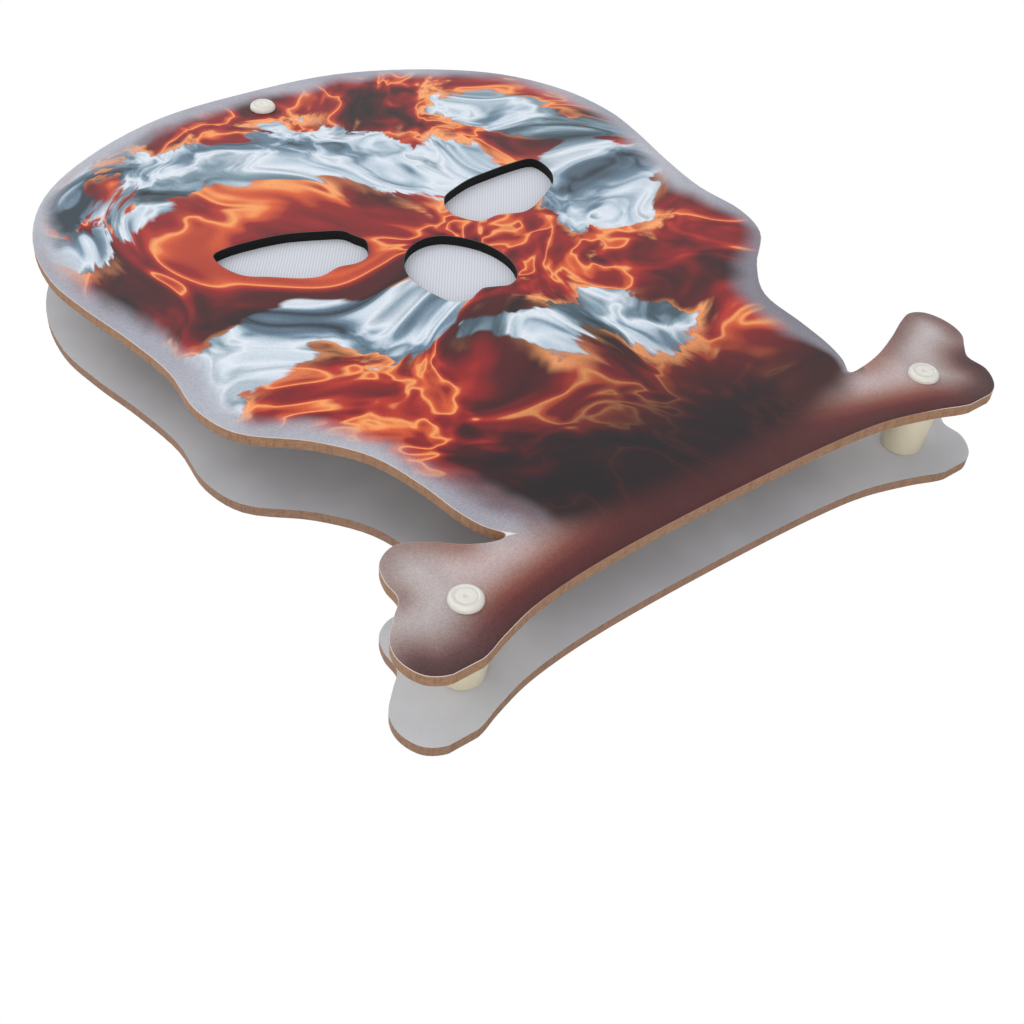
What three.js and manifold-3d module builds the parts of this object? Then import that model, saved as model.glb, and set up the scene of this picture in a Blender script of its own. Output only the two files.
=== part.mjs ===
// A light-up Halloween skull over a bone. Two cut fibreboard plates are held apart by three riveted
// spacers. The front plate has lit eye and nose openings backed by cloth, and the back plate has a
// keyhole and a flush battery case with a snap lid and a slide switch.
// Millimetres. X runs to the right seen from the front, Y to the back and Z up. The skull stands on
// the two lower lobes of the bone, with the origin in the middle of its footprint.
import * as THREE from 'three';
import { mergeVertices } from 'three/addons/utils/BufferGeometryUtils.js';
import Module from 'manifold-3d';

const wasm = await Module();
wasm.setup();

// Plates
const skullHalfWidth = 102.8;
const plateHeight = 254.2;
const plateThickness = 3;
const plateGap = 21;
const footLength = 8;

// Right side of the skull from the crown down to the jaw, and its left side mirrored.
// Each pair is a share of skullHalfWidth and a share of plateHeight.
const skullSideShares = [
  [0, 1], [0.331, 0.99], [0.632, 0.941], [0.842, 0.876], [0.963, 0.793], [1, 0.71], [0.982, 0.643],
  [0.944, 0.568], [0.919, 0.491], [0.932, 0.421], [0.893, 0.37], [0.755, 0.319], [0.663, 0.268],
];
// The jaw's two sides from there down to the rounded tips of the notches over the bone.
const jawRightShares = [[0.651, 0.205], [0.64, 0.16], [0.62, 0.13], [0.598, 0.1155], [0.593, 0.1125]];
const jawLeftShares = [[-0.62, 0.205], [-0.604, 0.16], [-0.583, 0.131], [-0.561, 0.1165], [-0.556, 0.113]];
// The bone in three runs between its two feet: right end, underside and left end, in the same shares.
const boneRightShares = [
  [0.594, 0.11], [0.603, 0.1085], [0.645, 0.1095], [0.69, 0.1125], [0.74, 0.1178], [0.825, 0.131],
  [0.907, 0.146], [0.955, 0.151], [0.995, 0.142], [1.015, 0.116], [1.002, 0.09], [0.962, 0.073],
  [0.931, 0.058], [0.931, 0.033], [0.893, 0.009],
];
const boneUnderShares = [
  [0.67, 0.0135], [0.525, 0.029], [0.359, 0.0355], [0, 0.0385], [-0.344, 0.0365], [-0.518, 0.0315],
  [-0.642, 0.0235], [-0.742, 0.011],
];
const boneLeftShares = [
  [-0.945, 0.012], [-0.967, 0.037], [-0.955, 0.059], [-0.91, 0.08], [-0.871, 0.097], [-0.867, 0.121],
  [-0.845, 0.143], [-0.788, 0.154], [-0.715, 0.14], [-0.655, 0.121], [-0.605, 0.1105],
  [-0.568, 0.1075], [-0.557, 0.11],
];
const rightFootShare = 0.807;
const leftFootShare = -0.856;

// Openings in the front plate. The middle of each is a share of skullHalfWidth and a share of
// plateHeight, and its edge runs in shares of its half width and half height.
const leftEyeMiddleShare = [-0.367, 0.6157];
const leftEyeHalfWidth = 21.5;
const leftEyeHalfHeight = 13.4;
const leftEyeShares = [
  [-1, 0.63], [-0.95, 0.91], [-0.76, 1], [-0.34, 0.985], [0.13, 0.86], [0.59, 0.56], [0.86, 0.32],
  [0.93, 0.04], [1, -0.26], [0.93, -0.56], [0.78, -0.88], [0.59, -0.96], [0.33, -0.89], [0.03, -1],
  [-0.2, -0.89], [-0.57, -0.47], [-0.84, -0.16], [-0.96, 0.22],
];
const rightEyeMiddleShare = [0.36, 0.6098];
const rightEyeHalfWidth = 22;
const rightEyeHalfHeight = 13.3;
const rightEyeShares = [
  [-0.99, 0.04], [-0.92, 0.3], [-0.8, 0.53], [-0.55, 0.72], [-0.23, 0.89], [0.14, 0.96], [0.59, 1],
  [0.95, 0.93], [1, 0.6], [0.94, 0.11], [0.77, -0.29], [0.59, -0.49], [0.36, -0.73], [0.14, -0.91],
  [-0.09, -1], [-0.27, -0.91], [-0.45, -0.8], [-0.77, -0.82], [-0.93, -0.53], [-1, -0.23],
];
const noseMiddleShare = [-0.0068, 0.5028];
const noseHalfWidth = 15.5;
const noseHalfHeight = 16.8;
const noseShares = [
  [0.05, 1], [0.37, 0.92], [0.69, 0.64], [0.9, 0.31], [1, -0.11], [0.97, -0.46], [0.85, -0.73],
  [0.69, -0.9], [0.46, -0.98], [0.21, -0.9], [-0.02, -0.83], [-0.23, -0.9], [-0.47, -1],
  [-0.78, -0.88], [-0.92, -0.55], [-1, -0.17], [-0.96, 0.22], [-0.79, 0.55], [-0.57, 0.79],
  [-0.28, 0.95],
];

// Cloth glued behind the openings, past their edges by a margin
const clothMargin = 8;
const clothThickness = 0.5;
const clothCornerRadius = 4;

// Keyhole in the back plate, over the battery case
const keyholeX = -2;
const keyholeAboveCase = 13.1;
const keyholeRadius = 4.7;
const keySlotWidth = 5.3;
const keySlotTop = 13.3;

// Rivets: a post from behind through the spacer, and a cap pressed in from the front.
// Their places are shares of skullHalfWidth and plateHeight.
const rivetShares = { top: [-0.0097, 0.9496], left: [-0.753, 0.0622], right: [0.755, 0.0622] };
const headRadius = 6.9;
const headThickness = 2.4;
const headEdgeRadius = 0.7;
const postRadius = 3;
const postBoreRadius = 1.8;
const postBoreDepth = 12;
const postClearance = 0.3;
const capRadius = 4.25;
const capThickness = 2;
const capShoulder = 0.9;
const capRimWidth = 0.5;
const capGrooveWidth = 0.5;
const capGrooveDepth = 0.2;
const capDimpleRadius = 0.5;
const capDimpleDepth = 0.35;
const pegRadius = 1.5;
const pegLength = 12;
const pegTipTaper = 0.5;
const spacerFrontRadius = 7.3;
const spacerBackRadius = 5.8;
const spacerCollarLength = 2.2;

// Battery case: a flange behind the back plate with a tray that goes through it
const caseX = 1;
const caseHeightShare = 0.5685;
const caseTiltDegrees = 2.9;
const flangeSideMargin = 4.5;
const flangeLowMargin = 4.9;
const flangeHighMargin = 7.2;
const flangeThickness = 2;
const flangeCornerRadius = 2.6;
const caseSeat = 0.05;
const trayWall = 1;
const trayFloor = 1.2;
const cutoutClearance = 0.25;
const cellDividerWidth = 0.9;
const cellDividerHeight = 3;

// Cells and what touches them
const cellRadius = 7;
const cellLength = 50.5;
const cellNubRadius = 2.7;
const cellNubLength = 1.4;
const cellEdgeRadius = 0.8;
const cellGap = 0.4;
const cellSideGap = 0.25;
const cellDepthGap = 0.3;
const cellEndGap = 0.35;
const contactThickness = 0.4;
const contactSeat = 0.1;
const contactWidth = 10;
const contactHeight = 9;
const contactTabWidth = 2.4;
const contactTabLength = 2.2;
const tabSlotClearance = 0.3;
const springLength = 4.2;
const springTurns = 3;
const springWireRadius = 0.35;
const springBaseRadius = 4.5;
const springTipRadius = 2.5;

// Lid
const lidSideSeat = 0.45;
const lidPastTray = 2.7;
const lidThickness = 1.4;
const lidSideClearance = 0.2;
const lidSeat = 0.05;
const lidEndGap = 0.4;
const latchWidth = 18.8;
const latchGap = 0.8;
const slitWidth = 0.7;
const latchSlitLength = 5.2;
const tabSlitSpacing = 17.3;
const tabSlitLength = 3.9;
const lidTabWidth = 2.1;
const lidTabReach = 1;
const lidTabThickness = 1.1;
const lidTabLegThickness = 0.7;
const lidTabDrop = 0.35;
const hookWidth = 12;
const hookLegThickness = 1;
const hookBarbReach = 1.1;
const hookBarbThickness = 0.8;
const hookSlotClearance = 0.35;
const hookInset = 0.6;
const gripCount = 3;
const gripLength = 7.6;
const gripPitch = 3.4;
const gripWidth = 0.8;
const gripHeight = 0.3;
const gripFromTop = 8.6;
const arrowHalfWidth = 1.8;
const arrowLength = 1.7;

// Slide switch
const switchAboveLid = 6.4;
const switchRecessWidth = 16;
const switchRecessDepth = 0.5;
const switchWindowWidth = 8.2;
const switchWindowHeight = 6;
const switchBodyWidth = 14.6;
const switchBodyHeight = 6.4;
const switchBodyDepth = 4.4;
const switchBodyClearance = 0.3;
const switchPocketDepth = 5.2;
const switchPinCount = 3;
const switchPinPitch = 3.6;
const switchPinWidth = 1.2;
const switchPinThickness = 0.5;
const switchPinLength = 2.6;
const knobWidth = 4.2;
const knobHeight = 5.2;
const knobProud = 0.2;
const knobClearance = 0.2;
const knobRidgeCount = 3;
const knobRidgePitch = 1.2;
const knobRidgeWidth = 0.5;
const knobRidgeDepth = 0.3;

// Case screws
const screwFromSide = 2.2;
const screwFromEnd = 4;
const screwHeadRadius = 1.6;
const screwHeadHeight = 1.1;
const screwShankRadius = 0.7;
const screwLength = 6;
const screwClearance = 0.2;

// Light strips
const stripWidth = 8;
const stripThickness = 0.3;
const stripSeat = 0.05;
const eyeStripLength = 40;
const stripFromCase = 6.5;
const eyeLampCount = 3;
const noseStripLength = 26;
const noseStripZ = -15;
const noseLampCount = 2;
const lampSize = 5;
const lampHeight = 1.5;
const lampWindowRadius = 2;
const lampWindowDepth = 0.5;
const lampGap = 0.1;

// Leads
const leadRadius = 0.6;
const leadGap = 0.3;
const leadPairPitch = 3;

// Facet counts and the overrun of every cut
const outlineSteps = 5;
const openingSteps = 4;
const rivetSides = 28;
const smallSides = 12;
const cornerSteps = 4;
const leadSides = 8;
const leadSteps = 16;
const springSides = 5;
const springStepsPerTurn = 8;
const overrun = 1;

// Levels along Y that several pieces share
const frontFaceY = -plateGap / 2 - plateThickness;
const frontPlateBackY = -plateGap / 2;
const backPlateFrontY = plateGap / 2;
const backFaceY = plateGap / 2 + plateThickness;
const flangeUnderY = backFaceY + caseSeat;
const flangeOuterY = flangeUnderY + flangeThickness;
const lidInnerY = flangeOuterY - lidThickness;
const cellAxisY = lidInnerY - cellDepthGap - cellRadius;
const trayFloorY = cellAxisY - cellRadius - cellDepthGap;
const trayUnderY = trayFloorY - trayFloor;

// Room inside the tray, and the flange round the lid and the switch, in the case's own X and Z
const cellX = cellRadius + cellGap / 2;
const trayHalfWidth = cellX + cellRadius + cellSideGap;
const trayOuterX = trayHalfWidth + trayWall;
const contactStack = contactSeat + contactThickness;
const trayLength = 2 * contactStack + springLength + cellLength + 2 * cellEndGap;
const lidHalfWidth = trayHalfWidth + lidSideSeat;
const lidLength = trayLength - lidTabReach - lidEndGap + lidPastTray;
const flangeWidth = 2 * (lidHalfWidth + flangeSideMargin);
const flangeHeight = flangeLowMargin + lidLength + switchAboveLid + flangeHighMargin;
const lidBottomZ = flangeLowMargin - flangeHeight / 2;
const lidTopZ = lidBottomZ + lidLength;
const trayBottomZ = lidBottomZ - lidTabReach - lidEndGap;
const trayTopZ = trayBottomZ + trayLength;
const switchZ = lidTopZ + switchAboveLid;

// Places on the plates
const onPlate = ([x, z]) => new THREE.Vector2(x * skullHalfWidth, z * plateHeight);
const leftEye = onPlate(leftEyeMiddleShare);
const rightEye = onPlate(rightEyeMiddleShare);
const nose = onPlate(noseMiddleShare);
const rivetPlaces = Object.entries(rivetShares).map(([where, shares]) => [where, onPlate(shares)]);
const caseZ = caseHeightShare * plateHeight;
const keyholeZ = caseZ + flangeHeight / 2 + keyholeAboveCase;
const eyeStripX = trayOuterX + stripFromCase + eyeStripLength / 2;
const eyeStripZ = (leftEye.y + rightEye.y) / 2;

// Materials
const finish = (color, roughness, metalness = 0) =>
  new THREE.MeshStandardMaterial({ color, roughness, metalness });
const printedBoard = () => finish(0x7a3236, 0.6);
const rawBoard = () => finish(0x96765f, 0.8);
const whiteCloth = () => finish(0xcfd0d6, 0.9);
const creamPlastic = () => finish(0xe4dcc0, 0.45);
const ivoryPlastic = () => finish(0xf1eee4, 0.35);
const whitePlastic = () => finish(0xe3e6e8, 0.4);
const blackPlastic = () => finish(0x141414, 0.4);
const darkSteel = () => finish(0x55585c, 0.35, 1);
const nickelSteel = () => finish(0xb9bcc0, 0.3, 1);
const cellWrap = () => finish(0x2f5a46, 0.35, 0.3);
const circuitBoard = () => finish(0xf0eee6, 0.5);
const lampResin = () => finish(0xf4e9b0, 0.3);
const redLead = () => finish(0xb02222, 0.5);
const blackLead = () => finish(0x1a1a1a, 0.5);

const skull = new THREE.Group();
const batteryCase = new THREE.Group();
skull.add(batteryCase);

function place(name, geometry, material, group = skull) {
  const mesh = new THREE.Mesh(geometry, material);
  mesh.name = name;
  group.add(mesh);
  return mesh;
}

function toSolid(geometry) {
  const bare = geometry.clone();
  bare.deleteAttribute('normal');
  bare.deleteAttribute('uv');
  const merged = mergeVertices(bare);
  return new wasm.Manifold(new wasm.Mesh({
    numProp: 3,
    vertProperties: new Float32Array(merged.attributes.position.array),
    triVerts: new Uint32Array(merged.index.array),
  }));
}

function toGeometry(solid) {
  const mesh = solid.getMesh();
  const geometry = new THREE.BufferGeometry();
  geometry.setAttribute('position', new THREE.BufferAttribute(mesh.vertProperties, mesh.numProp));
  geometry.setIndex(new THREE.BufferAttribute(mesh.triVerts, 1));
  geometry.computeVertexNormals();
  return geometry;
}

// A shape drawn in X and Z, made a slab between two levels of Y.
function slab(shape, frontY, backY) {
  const geometry = new THREE.ExtrudeGeometry(shape, {
    depth: backY - frontY, bevelEnabled: false, curveSegments: cornerSteps,
  });
  geometry.rotateX(Math.PI / 2);
  geometry.translate(0, backY, 0);
  return geometry;
}

function block(x0, x1, y0, y1, z0, z1) {
  const geometry = new THREE.BoxGeometry(x1 - x0, y1 - y0, z1 - z0);
  geometry.translate((x0 + x1) / 2, (y0 + y1) / 2, (z0 + z1) / 2);
  return geometry;
}

const solidBlock = (...sides) => toSolid(block(...sides));

// A round piece about an axis along Y, from a profile of radius and Y that ends on the axis.
function turned(profile, sides, x = 0, z = 0) {
  const points = profile.map(([radius, y]) => new THREE.Vector2(radius, y));
  const geometry = new THREE.LatheGeometry(points, sides);
  geometry.translate(x, 0, z);
  return geometry;
}

function roundedRectangle(width, height, radius, x = 0, z = 0) {
  const right = width / 2;
  const top = height / 2;
  const shape = new THREE.Shape();
  shape.absarc(x + right - radius, z + top - radius, radius, 0, Math.PI / 2);
  shape.absarc(x - right + radius, z + top - radius, radius, Math.PI / 2, Math.PI);
  shape.absarc(x - right + radius, z - top + radius, radius, Math.PI, 1.5 * Math.PI);
  shape.absarc(x + right - radius, z - top + radius, radius, 1.5 * Math.PI, 2 * Math.PI);
  return shape;
}

function circlePath(x, z, radius, sides) {
  const points = [];
  for (let i = 0; i < sides; i += 1) {
    const angle = (2 * Math.PI * i) / sides;
    points.push(new THREE.Vector2(x + radius * Math.cos(angle), z + radius * Math.sin(angle)));
  }
  return new THREE.Path(points);
}

// A smooth line through the given points, with a few steps between each two of them.
function smoothLine(points, closed, steps) {
  const through = points.map((p) => new THREE.Vector3(p.x, p.y, 0));
  const curve = new THREE.CatmullRomCurve3(through, closed, 'centripetal');
  const spans = closed ? points.length : points.length - 1;
  const line = curve.getPoints(spans * steps).map((p) => new THREE.Vector2(p.x, p.y));
  return closed ? line.slice(0, -1) : line;
}

// The plates' edge, anticlockwise seen from the front. Each run of the bone's edge leans on both ends of
// the flat feet that it meets, and the flats themselves are then left straight.
function outlinePoints() {
  const leftSide = skullSideShares.slice(1).reverse().map(([x, z]) => [-x, z]);
  const skullShares = [...jawLeftShares.toReversed(), ...leftSide, ...skullSideShares, ...jawRightShares];
  const skullLine = smoothLine(skullShares.map(onPlate), false, outlineSteps);
  const foot = (share, side) => new THREE.Vector2(share * skullHalfWidth + side * footLength / 2, 0);
  const rightFoot = [foot(rightFootShare, 1), foot(rightFootShare, -1)];
  const leftFoot = [foot(leftFootShare, 1), foot(leftFootShare, -1)];
  const boneRun = (points) => smoothLine(points, false, outlineSteps);
  const rightRun = boneRun([...boneRightShares.map(onPlate), ...rightFoot]);
  const underRun = boneRun([...rightFoot, ...boneUnderShares.map(onPlate), ...leftFoot]);
  const leftRun = boneRun([...leftFoot, ...boneLeftShares.map(onPlate)]);
  return [
    ...skullLine,
    ...rightRun.slice(0, -outlineSteps),
    ...underRun.slice(outlineSteps, -outlineSteps),
    ...leftRun.slice(outlineSteps),
  ].reverse();
}

function openingPath(middle, halfWidth, halfHeight, shares) {
  const points = shares.map(([u, w]) => (
    new THREE.Vector2(middle.x + u * halfWidth, middle.y + w * halfHeight)));
  return new THREE.Path(smoothLine(points, true, openingSteps));
}

const outline = outlinePoints();

function frontPlate() {
  const shape = new THREE.Shape(outline);
  shape.holes.push(
    openingPath(leftEye, leftEyeHalfWidth, leftEyeHalfHeight, leftEyeShares),
    openingPath(rightEye, rightEyeHalfWidth, rightEyeHalfHeight, rightEyeShares),
    openingPath(nose, noseHalfWidth, noseHalfHeight, noseShares),
  );
  for (const [, at] of rivetPlaces) {
    shape.holes.push(circlePath(at.x, at.y, pegRadius + postClearance, smallSides));
  }
  return slab(shape, frontFaceY, frontPlateBackY);
}

// A point of the case's own frame, seen in the frame of the plates.
function fromCase(x, z) {
  const tilt = THREE.MathUtils.degToRad(caseTiltDegrees);
  return new THREE.Vector2(
    caseX + x * Math.cos(tilt) - z * Math.sin(tilt),
    caseZ + x * Math.sin(tilt) + z * Math.cos(tilt),
  );
}

const pocketHalfWidth = switchBodyWidth / 2 + switchBodyClearance;
const pocketHalfHeight = switchBodyHeight / 2 + switchBodyClearance;

function caseCutout() {
  const wide = trayOuterX + cutoutClearance;
  const narrow = pocketHalfWidth + trayWall + cutoutClearance;
  const bottom = trayBottomZ - trayWall - cutoutClearance;
  const shoulder = trayTopZ + trayWall + cutoutClearance;
  const top = switchZ + pocketHalfHeight + trayWall + cutoutClearance;
  const corners = [
    [-wide, bottom], [wide, bottom], [wide, shoulder], [narrow, shoulder],
    [narrow, top], [-narrow, top], [-narrow, shoulder], [-wide, shoulder],
  ];
  return new THREE.Path(corners.map(([x, z]) => fromCase(x, z)));
}

function keyholePath() {
  const slotHalf = keySlotWidth / 2;
  const mouth = Math.asin(slotHalf / keyholeRadius);
  const path = new THREE.Path();
  path.absarc(keyholeX, keyholeZ, keyholeRadius, Math.PI / 2 + mouth, 2.5 * Math.PI - mouth);
  path.absarc(keyholeX, keyholeZ + keySlotTop - slotHalf, slotHalf, 0, Math.PI);
  return new THREE.Path(path.getPoints(rivetSides / 2));
}

function screwPlaces() {
  const screwX = flangeWidth / 2 - screwFromSide;
  const screwZ = flangeHeight / 2 - screwFromEnd;
  return [[-screwX, screwZ], [screwX, screwZ], [-screwX, -screwZ], [screwX, -screwZ]];
}

function backPlate() {
  const shape = new THREE.Shape(outline);
  shape.holes.push(caseCutout(), keyholePath());
  for (const [, at] of rivetPlaces) {
    shape.holes.push(circlePath(at.x, at.y, postRadius + postClearance, smallSides));
  }
  for (const [x, z] of screwPlaces()) {
    const at = fromCase(x, z);
    shape.holes.push(circlePath(at.x, at.y, screwShankRadius + screwClearance, smallSides));
  }
  return slab(shape, backPlateFrontY, backFaceY);
}

// Tapered sleeve with a short straight collar at its wide front end and an open bore.
function spacer(x, z) {
  const bore = postRadius + postClearance;
  return turned([
    [bore, frontPlateBackY],
    [spacerFrontRadius, frontPlateBackY],
    [spacerFrontRadius, frontPlateBackY + spacerCollarLength],
    [spacerBackRadius, backPlateFrontY],
    [bore, backPlateFrontY],
    [bore, frontPlateBackY],
  ], rivetSides, x, z);
}

// Flat rear head with a rounded edge, and a hollow barrel that ends against the front plate.
function post(x, z) {
  const headY = backFaceY + headThickness;
  const barrelY = frontPlateBackY + postClearance;
  const bevel = headEdgeRadius * (1 - Math.SQRT1_2);
  return turned([
    [0, barrelY + postBoreDepth],
    [postBoreRadius, barrelY + postBoreDepth],
    [postBoreRadius, barrelY],
    [postRadius, barrelY],
    [postRadius, backFaceY],
    [headRadius, backFaceY],
    [headRadius, headY - headEdgeRadius],
    [headRadius - bevel, headY - bevel],
    [headRadius - headEdgeRadius, headY],
    [0, headY],
  ], rivetSides, x, z);
}

// Low front head with a rounded shoulder, a groove inside its rim and a moulding dimple, and a peg
// with a tapered tip.
function cap(x, z) {
  const topY = frontFaceY - capThickness;
  const bevel = capShoulder * (1 - Math.SQRT1_2);
  const rimRadius = capRadius - capShoulder;
  const grooveRadius = rimRadius - capRimWidth;
  const tipY = frontFaceY + pegLength;
  return turned([
    [0, topY + capDimpleDepth],
    [capDimpleRadius, topY],
    [grooveRadius - capGrooveWidth, topY],
    [grooveRadius - capGrooveWidth / 2, topY + capGrooveDepth],
    [grooveRadius, topY],
    [rimRadius, topY],
    [capRadius - bevel, topY + bevel],
    [capRadius, topY + capShoulder],
    [capRadius, frontFaceY],
    [pegRadius, frontFaceY],
    [pegRadius, tipY - 2 * pegTipTaper],
    [pegRadius - pegTipTaper, tipY],
    [0, tipY],
  ], rivetSides, x, z);
}

function cloth() {
  const left = leftEye.x - leftEyeHalfWidth - clothMargin;
  const right = rightEye.x + rightEyeHalfWidth + clothMargin;
  const bottom = nose.y - noseHalfHeight - clothMargin;
  const top = leftEye.y + leftEyeHalfHeight + clothMargin;
  const sheet = roundedRectangle(right - left, top - bottom, clothCornerRadius,
    (left + right) / 2, (bottom + top) / 2);
  return slab(sheet, frontPlateBackY, frontPlateBackY + clothThickness);
}

// Lid pieces share these places: the hook's slot and the two tabs beside the lower slits.
const hookFrontZ = lidTopZ - hookInset;
const hookBackZ = hookFrontZ - hookLegThickness;
const tabOuterX = trayHalfWidth - lidSideClearance;
const tabInnerX = tabOuterX - lidTabWidth;
const tabTopY = flangeUnderY - lidTabDrop;
const tabUnderY = tabTopY - lidTabThickness;

function screwSinks() {
  const headTopY = flangeOuterY + overrun;
  const sinks = screwPlaces().map(([x, z]) => toSolid(turned([
    [0, flangeUnderY - overrun],
    [screwShankRadius + screwClearance, flangeUnderY - overrun],
    [screwShankRadius + screwClearance, flangeOuterY - screwHeadHeight - screwClearance],
    [screwHeadRadius + screwClearance, flangeOuterY - screwClearance],
    [screwHeadRadius + screwClearance, headTopY],
    [0, headTopY],
  ], smallSides, x, z)));
  return sinks;
}

function caseBody() {
  const lidSideX = lidHalfWidth + lidSideClearance;
  let body = toSolid(slab(
    roundedRectangle(flangeWidth, flangeHeight, flangeCornerRadius), flangeUnderY, flangeOuterY,
  ));
  body = body.add(solidBlock(
    -trayOuterX, trayOuterX, trayUnderY, flangeOuterY, trayBottomZ - trayWall, trayTopZ + trayWall,
  ));
  body = body.add(solidBlock(
    -pocketHalfWidth - trayWall, pocketHalfWidth + trayWall, flangeUnderY - switchPocketDepth, flangeOuterY,
    switchZ - pocketHalfHeight - trayWall, switchZ + pocketHalfHeight + trayWall,
  ));
  const cuts = [
    solidBlock(-lidSideX, lidSideX, lidInnerY - lidSeat, flangeOuterY + overrun,
      lidBottomZ - lidEndGap, lidTopZ + lidSideClearance),
    solidBlock(-latchWidth / 2, latchWidth / 2, lidInnerY - lidSeat, flangeOuterY + overrun,
      lidTopZ, lidTopZ + latchGap),
    solidBlock(-trayHalfWidth, trayHalfWidth, trayFloorY, lidInnerY, trayBottomZ, trayTopZ)
      .subtract(solidBlock(-flangeWidth, flangeWidth, flangeUnderY, flangeOuterY,
        trayBottomZ - overrun, lidBottomZ - lidEndGap)),
    solidBlock(-hookWidth / 2 - hookSlotClearance, hookWidth / 2 + hookSlotClearance,
      flangeUnderY - overrun, flangeOuterY, hookBackZ - hookSlotClearance, hookFrontZ + hookSlotClearance)
      .subtract(solidBlock(-hookWidth, hookWidth, trayUnderY, flangeUnderY,
        trayTopZ, trayTopZ + trayWall)),
    solidBlock(-pocketHalfWidth, pocketHalfWidth, flangeUnderY - switchPocketDepth - overrun, flangeUnderY,
      switchZ - pocketHalfHeight, switchZ + pocketHalfHeight),
    solidBlock(-switchWindowWidth / 2, switchWindowWidth / 2,
      flangeUnderY - overrun, flangeOuterY + overrun,
      switchZ - switchWindowHeight / 2, switchZ + switchWindowHeight / 2),
    solidBlock(-switchRecessWidth / 2, switchRecessWidth / 2, flangeOuterY - switchRecessDepth,
      flangeOuterY + overrun, switchZ - switchWindowHeight / 2, switchZ + switchWindowHeight / 2),
    ...screwSinks(),
  ];
  const slotHalf = contactTabWidth / 2 + tabSlotClearance;
  for (const x of [-cellX, cellX]) {
    cuts.push(solidBlock(x - slotHalf, x + slotHalf, trayUnderY - overrun, trayFloorY + overrun,
      trayTopZ - contactStack - tabSlotClearance, trayTopZ));
  }
  for (const cut of cuts) body = body.subtract(cut);
  const divider = solidBlock(-cellDividerWidth / 2, cellDividerWidth / 2, trayFloorY - trayFloor / 2,
    trayFloorY + cellDividerHeight, trayBottomZ + contactHeight, trayTopZ - contactHeight);
  return toGeometry(body.add(divider));
}

function lid() {
  let plate = solidBlock(-lidHalfWidth, lidHalfWidth, lidInnerY, flangeOuterY, lidBottomZ, lidTopZ);
  for (let i = 0; i < gripCount; i += 1) {
    const z = lidTopZ - gripFromTop - i * gripPitch;
    plate = plate.add(solidBlock(-gripLength / 2, gripLength / 2, lidInnerY, flangeOuterY + gripHeight,
      z - gripWidth, z));
  }
  const arrowZ = lidTopZ - gripFromTop - gripCount * gripPitch;
  const arrow = new THREE.Shape([
    new THREE.Vector2(-arrowHalfWidth, arrowZ),
    new THREE.Vector2(0, arrowZ - arrowLength),
    new THREE.Vector2(arrowHalfWidth, arrowZ),
  ]);
  plate = plate.add(toSolid(slab(arrow, lidInnerY, flangeOuterY + gripHeight)));
  for (const side of [-1, 1]) {
    const slitX = side * (latchWidth / 2 - slitWidth / 2);
    plate = plate.subtract(solidBlock(slitX - slitWidth / 2, slitX + slitWidth / 2,
      lidInnerY - overrun, flangeOuterY + overrun, lidTopZ - latchSlitLength, lidTopZ + overrun));
    const lowX = side * tabSlitSpacing / 2;
    plate = plate.subtract(solidBlock(lowX - slitWidth / 2, lowX + slitWidth / 2,
      lidInnerY - overrun, flangeOuterY + overrun, lidBottomZ - overrun, lidBottomZ + tabSlitLength));
    const tabX = [side * tabInnerX, side * tabOuterX].sort((a, b) => a - b);
    const legTopZ = lidBottomZ + lidTabLegThickness;
    plate = plate.add(solidBlock(...tabX, tabUnderY, flangeOuterY, lidBottomZ, legTopZ));
    plate = plate.add(solidBlock(...tabX, tabUnderY, tabTopY, lidBottomZ - lidTabReach, legTopZ));
  }
  const barbTopY = flangeUnderY - hookSlotClearance;
  plate = plate.add(solidBlock(-hookWidth / 2, hookWidth / 2, barbTopY - hookBarbThickness, flangeOuterY,
    hookBackZ, hookFrontZ));
  plate = plate.add(solidBlock(-hookWidth / 2, hookWidth / 2, barbTopY - hookBarbThickness, barbTopY,
    hookBackZ, hookFrontZ + hookBarbReach));
  return toGeometry(plate);
}

// A round cell along Z with its nub up or down.
function cell(x, nubUp) {
  const body = cellLength - cellNubLength;
  const geometry = turned([
    [0, 0],
    [cellRadius - cellEdgeRadius, 0],
    [cellRadius, cellEdgeRadius],
    [cellRadius, body - cellEdgeRadius],
    [cellRadius - cellEdgeRadius, body],
    [cellNubRadius, body],
    [cellNubRadius, cellLength],
    [0, cellLength],
  ], rivetSides);
  geometry.rotateX(Math.PI / 2);
  if (!nubUp) {
    geometry.rotateX(Math.PI);
  }
  const foot = nubUp
    ? trayBottomZ + contactStack + springLength + cellEndGap
    : trayTopZ - contactStack - springLength - cellEndGap;
  geometry.translate(x, cellAxisY, foot);
  return geometry;
}

// Contact plate against the upper end wall, with a solder tab through the tray's floor.
function upperContact(x) {
  const z1 = trayTopZ - contactSeat;
  const z0 = z1 - contactThickness;
  const half = contactWidth / 2;
  const plate = solidBlock(x - half, x + half,
    cellAxisY - contactHeight / 2, cellAxisY + contactHeight / 2, z0, z1);
  const tab = solidBlock(x - contactTabWidth / 2, x + contactTabWidth / 2,
    trayUnderY - contactTabLength, cellAxisY, z0, z1);
  return toGeometry(plate.add(tab));
}

function lowerBridge() {
  const z0 = trayBottomZ + contactSeat;
  const half = cellX + contactWidth / 2;
  return block(-half, half, cellAxisY - contactHeight / 2, cellAxisY + contactHeight / 2,
    z0, z0 + contactThickness);
}

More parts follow.
